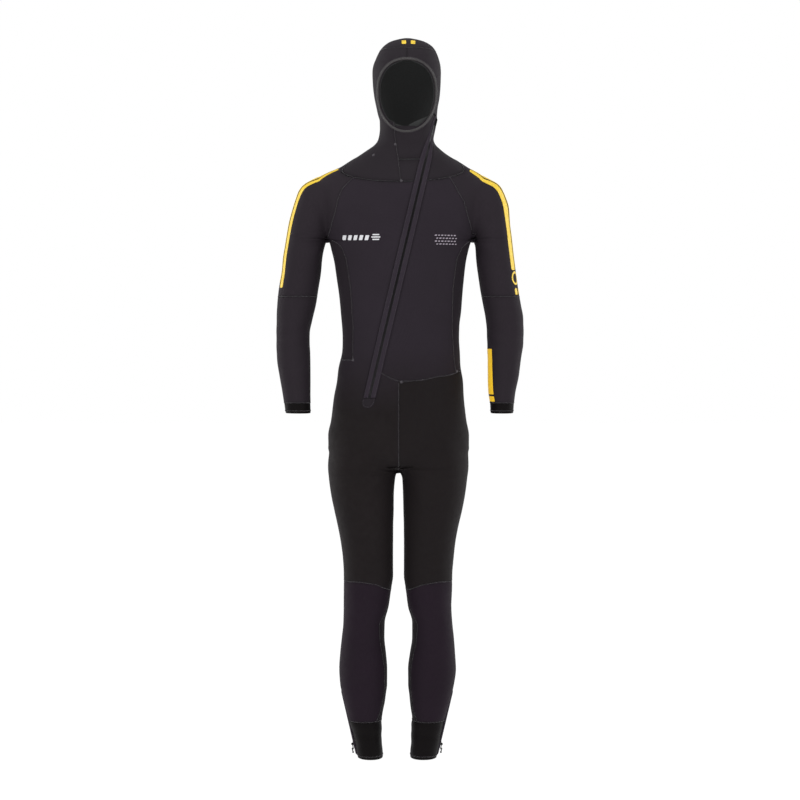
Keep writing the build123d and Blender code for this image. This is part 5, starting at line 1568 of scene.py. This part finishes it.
def ridge(s):
    q = [((x - 400) * 2.32, 0, (756.5 - y) * 2.32) for x, y in SIL[s][1:]]
    q = resample(smooth_line(q, 1), 6.0)
    return smooth_line(q, 12)


RIDGE = {s: ridge(s) for s in (-1, 1)}


def on_sleeve(s, off, d):
    """Surface point at distance d from the shoulder's top, off towards the front round the sleeve, millimetres."""
    off, d = np.broadcast_arrays(np.asarray(off, float), np.asarray(d, float))
    c = RIDGE[s]
    l = np.concatenate([[0], np.cumsum(np.linalg.norm(np.diff(c, axis=0), axis=1))])
    t = np.gradient(c, axis=0)
    t /= np.linalg.norm(t, axis=1, keepdims=True)
    n_out = np.stack([t[:, 2] * 1.0, np.zeros(len(t)), -t[:, 0]], 1)
    if np.sum(n_out[:, 0] * s) < 0:
        n_out = -n_out
    m = np.stack([np.interp(d.ravel(), l, c[:, i]) for i in range(3)], 1)
    n_ = np.stack([np.interp(d.ravel(), l, n_out[:, i]) for i in range(3)], 1)
    n_ /= np.linalg.norm(n_, axis=1, keepdims=True)
    o = m - n_ * 42
    o[:, 1] = 2.0
    th = off.ravel()[:, None] / 46.0
    dd = np.cos(th) * n_ + np.sin(th) * np.array([[0, -1.0, 0]])
    return surf(o, dd, UP, True).reshape(off.shape + (3,))


def stripe(s, off0, off1, d0, d1, round_ends=True, cols=7):
    """Film along the outside of the sleeve, with half-round ends."""
    ds = np.arange(d0, d1 + 0.1, 4.0)
    ds = np.unique(np.concatenate([[d0, d0 + 1, d0 + 2.5], ds[2:-1], [d1 - 2.5, d1 - 1, d1]]))
    w = off1 - off0
    e = np.minimum(ds - d0, d1 - ds)
    r_ = min(w / 2, 5.0)
    cut = np.where(e < r_, r_ - np.sqrt(np.clip(r_ ** 2 - (r_ - e) ** 2, 0, None)), 0.0) if round_ends else 0 * ds
    u_ = np.linspace(0, 1, cols)
    offs = (off0 + cut)[:, None] + u_[None, :] * (w - 2 * cut)[:, None]
    return sheet_on(on_sleeve(s, offs, ds[:, None]))


def ring_on(s, off, d, r0, r1, k=40):
    a_ = np.linspace(0, 2 * PI, k + 1)[None, :]
    rr_ = np.linspace(r0, r1, 4)[:, None]
    return sheet_on(on_sleeve(s, off + rr_ * np.cos(a_), d + rr_ * np.sin(a_)))


LEN = {s: float(np.sum(np.linalg.norm(np.diff(RIDGE[s], axis=0), axis=1))) for s in (-1, 1)}
STRIPES = {-1: ((22, 36, 2, 338), (0, 13, 2, 326)), 1: ((22.5, 41, 2, 280), (0, 13, 4, 272))}
for s in (-1, 1):
    t = TAG[s]
    for i, (o0, o1, d0, d1) in enumerate(STRIPES[s]):
        put("sleeve_stripe_%s_%d" % (t, i + 1), stripe(s, o0, o1, d0, d1), M_YELLOW, bend=SHOULDER[s])
# plain ring and short bars at the foot of the wearer's left stripes
put("sleeve_bars_left", merge([(a_, b_, np.zeros(len(a_))) for a_, b_, _ in (ring_on(1, 27.5, 299, 11.5, 16.0), stripe(1, 26, 37, 322, 338), stripe(1, 6, 17, 322, 338))]), M_YELLOW, bend=SHOULDER[1])


def patch_grid(xs, zs, parts=UP):
    X, Z = np.meshgrid(xs, zs)
    return front(X, Z, parts)


def slanted_bar(x, z, w, h, skew=0.0, parts=("core",)):
    u_ = np.linspace(0, 1, 5)
    g_ = np.zeros((7, 5, 3))
    rr = np.linspace(0, 1, 7)
    X = x + (u_[None, :] - 0.5) * w + skew * (rr[:, None] - 0.5)
    Z = z + (rr[:, None] - 0.5) * h + 0 * u_[None, :]
    # soften the corners
    X = x + (X - x) * (1 - 0.10 * (np.abs(rr[:, None] - 0.5) > 0.45))
    return sheet_on(front(X, Z, parts), parts=parts)


def E0(t3):
    return t3[0], t3[1], np.zeros(len(t3[0]))


marks = [E0(slanted_bar(-126 + i * 13.0, 1200.0 - i * 0.2, 8.0, 11.0, 3.0)) for i in range(5)]
marks += [E0(slanted_bar(-54, 1200.5, 20.0, 2.8)), E0(slanted_bar(-54, 1195.2, 15.0, 2.8)), E0(slanted_bar(-54, 1205.8, 15.0, 2.8))]
put("chest_mark_right", merge(marks), M_WHITE, body="torso")
rng = np.random.RandomState(7)
specks = []
for i in range(7):
    for j in range(4):
        x, z = 80 + i * 7.2 + (j % 2) * 3.0, 1205 - j * 6.6
        specks.append(E0(slanted_bar(x, z, 4.6 - 1.2 * ((i + j) % 2), 2.4, 1.0)))
put("chest_mark_left", merge(specks), M_GREY, body="torso")
crown = [E0(slanted_bar(9.0, 1650.5, 10.0, 10.0, 0.0)), E0(slanted_bar(30.0, 1650.5, 10.0, 10.0, 0.0))]
put("crown_mark", merge(crown), M_YELLOW, body="torso")


# yellow panel on the inner side of the wearer's left forearm
def arm_patch(z0, z1, s0, s1, cols=9, step=4.0):
    vs_ = np.arange(z0, z1 + 0.1, step)
    A = ARM[1]
    rows_ = []
    for v in vs_:
        a_ = A.shift(np.full(cols, v), np.full(cols, -PI / 2), 0.0)
        rows_.append(A.at(np.full(cols, v), np.array([A.shift([v], [-PI / 2], q)[0] for q in np.linspace(s0, s1, cols)])))
    return sheet_on(np.array(rows_), parts=("arml",))


put("forearm_patch_left", arm_patch(842, 946, -6, 31), M_AMBER, bend=ELBOW[1])
put("forearm_block_left", arm_patch(825.5, 838, -6, 31), M_AMBER, body="forearm_left")

# ------------------------------------------------------------------ carried-over hardware
def dress(node, mat, slot=None, bevel=None):
    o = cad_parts[node]
    o.data.materials.clear()
    o.data.materials.append(mat)
    if bevel:
        b = o.modifiers.new("edge", "BEVEL")
        b.width = bevel / 1000.0
        b.segments = 2
        b.limit_method = "ANGLE"
        b.angle_limit = math.radians(35)


for n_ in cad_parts:
    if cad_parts[n_].hide_render:
        continue
    if "slider" in n_:
        dress(n_, M_METAL)
    elif "puller" in n_:
        dress(n_, M_PULL)
    elif "cord" in n_:
        dress(n_, M_CORD)
    elif "stop" in n_:
        dress(n_, M_METAL)
    else:
        print("LEFT", n_)
        dress(n_, M_GUSSET)

# ------------------------------------------------------------------ floor, light, camera
bpy.ops.mesh.primitive_plane_add(size=24, location=(0, 4, -0.002))
floor = bpy.context.object
floor.name = "floor"
fm, nt, bs = nodes_of("floor_paper")
fn = noise(nt, coords(nt, False), 2.0, 2.0)
link(nt, ramp(nt, fn, [(0.0, (0.10, 0.10, 0.10, 1)), (1.0, (0.12, 0.12, 0.12, 1))]), bs.inputs["Base Color"])
bs.inputs["Roughness"].default_value = 0.95
bs.inputs["Emission Color"].default_value = (1, 1, 1, 1)
bs.inputs["Emission Strength"].default_value = 0.985
bs.inputs["Specular IOR Level"].default_value = 0.0
floor.data.materials.append(fm)

w = bpy.data.worlds.new("studio")
scene.world = w
w.use_nodes = True
bg = w.node_tree.nodes["Background"]
lp = w.node_tree.nodes.new("ShaderNodeLightPath")
bg2 = w.node_tree.nodes.new("ShaderNodeBackground")
mx = w.node_tree.nodes.new("ShaderNodeMixShader")
bg.inputs[0].default_value = (1, 1, 1, 1)
bg.inputs[1].default_value = 0.30
bg2.inputs[0].default_value = (1, 1, 1, 1)
bg2.inputs[1].default_value = 1.0
w.node_tree.links.new(lp.outputs["Is Camera Ray"], mx.inputs[0])
w.node_tree.links.new(bg.outputs[0], mx.inputs[1])
w.node_tree.links.new(bg2.outputs[0], mx.inputs[2])
w.node_tree.links.new(mx.outputs[0], w.node_tree.nodes["World Output"].inputs[0])


def area(name, loc, target, size, power, col=(1, 1, 1)):
    d = bpy.data.lights.new(name, "AREA")
    d.shape = "RECTANGLE"
    d.size, d.size_y = size
    d.energy = power
    d.color = col
    o = bpy.data.objects.new(name, d)
    o.location = loc
    o.rotation_mode = "QUATERNION"
    o.rotation_quaternion = (Vector(target) - Vector(loc)).to_track_quat("-Z", "Y")
    scene.collection.objects.link(o)


area("key", (-2.3, -3.0, 2.7), (0, 0, 1.05), (1.6, 2.2), 52)
area("fill", (2.6, -2.6, 2.0), (0, 0, 0.95), (1.6, 2.2), 34)
area("rim_l", (-2.4, 1.2, 1.6), (0, 0, 1.0), (0.9, 2.4), 22)
area("rim_r", (2.4, 1.2, 1.6), (0, 0, 1.0), (0.9, 2.4), 22)
area("top", (0, -0.6, 3.6), (0, 0, 1.0), (2.0, 1.6), 26)

cam = bpy.data.cameras.new("camera")
co = bpy.data.objects.new("camera", cam)
scene.collection.objects.link(co)
co.location = (0, -4.7, 1.0)
co.rotation_euler = (math.radians(90), 0, 0)
cam.sensor_width = 36
cam.lens = 18 / math.tan(math.atan(0.928 / 4.7))
cam.shift_y = -(1.0 - (756.5 - 400) * 2.32 / 1000) / 1.856
scene.camera = co
scene.view_settings.view_transform = "Standard"
scene.view_settings.look = "None"

bpy.context.view_layer.update()
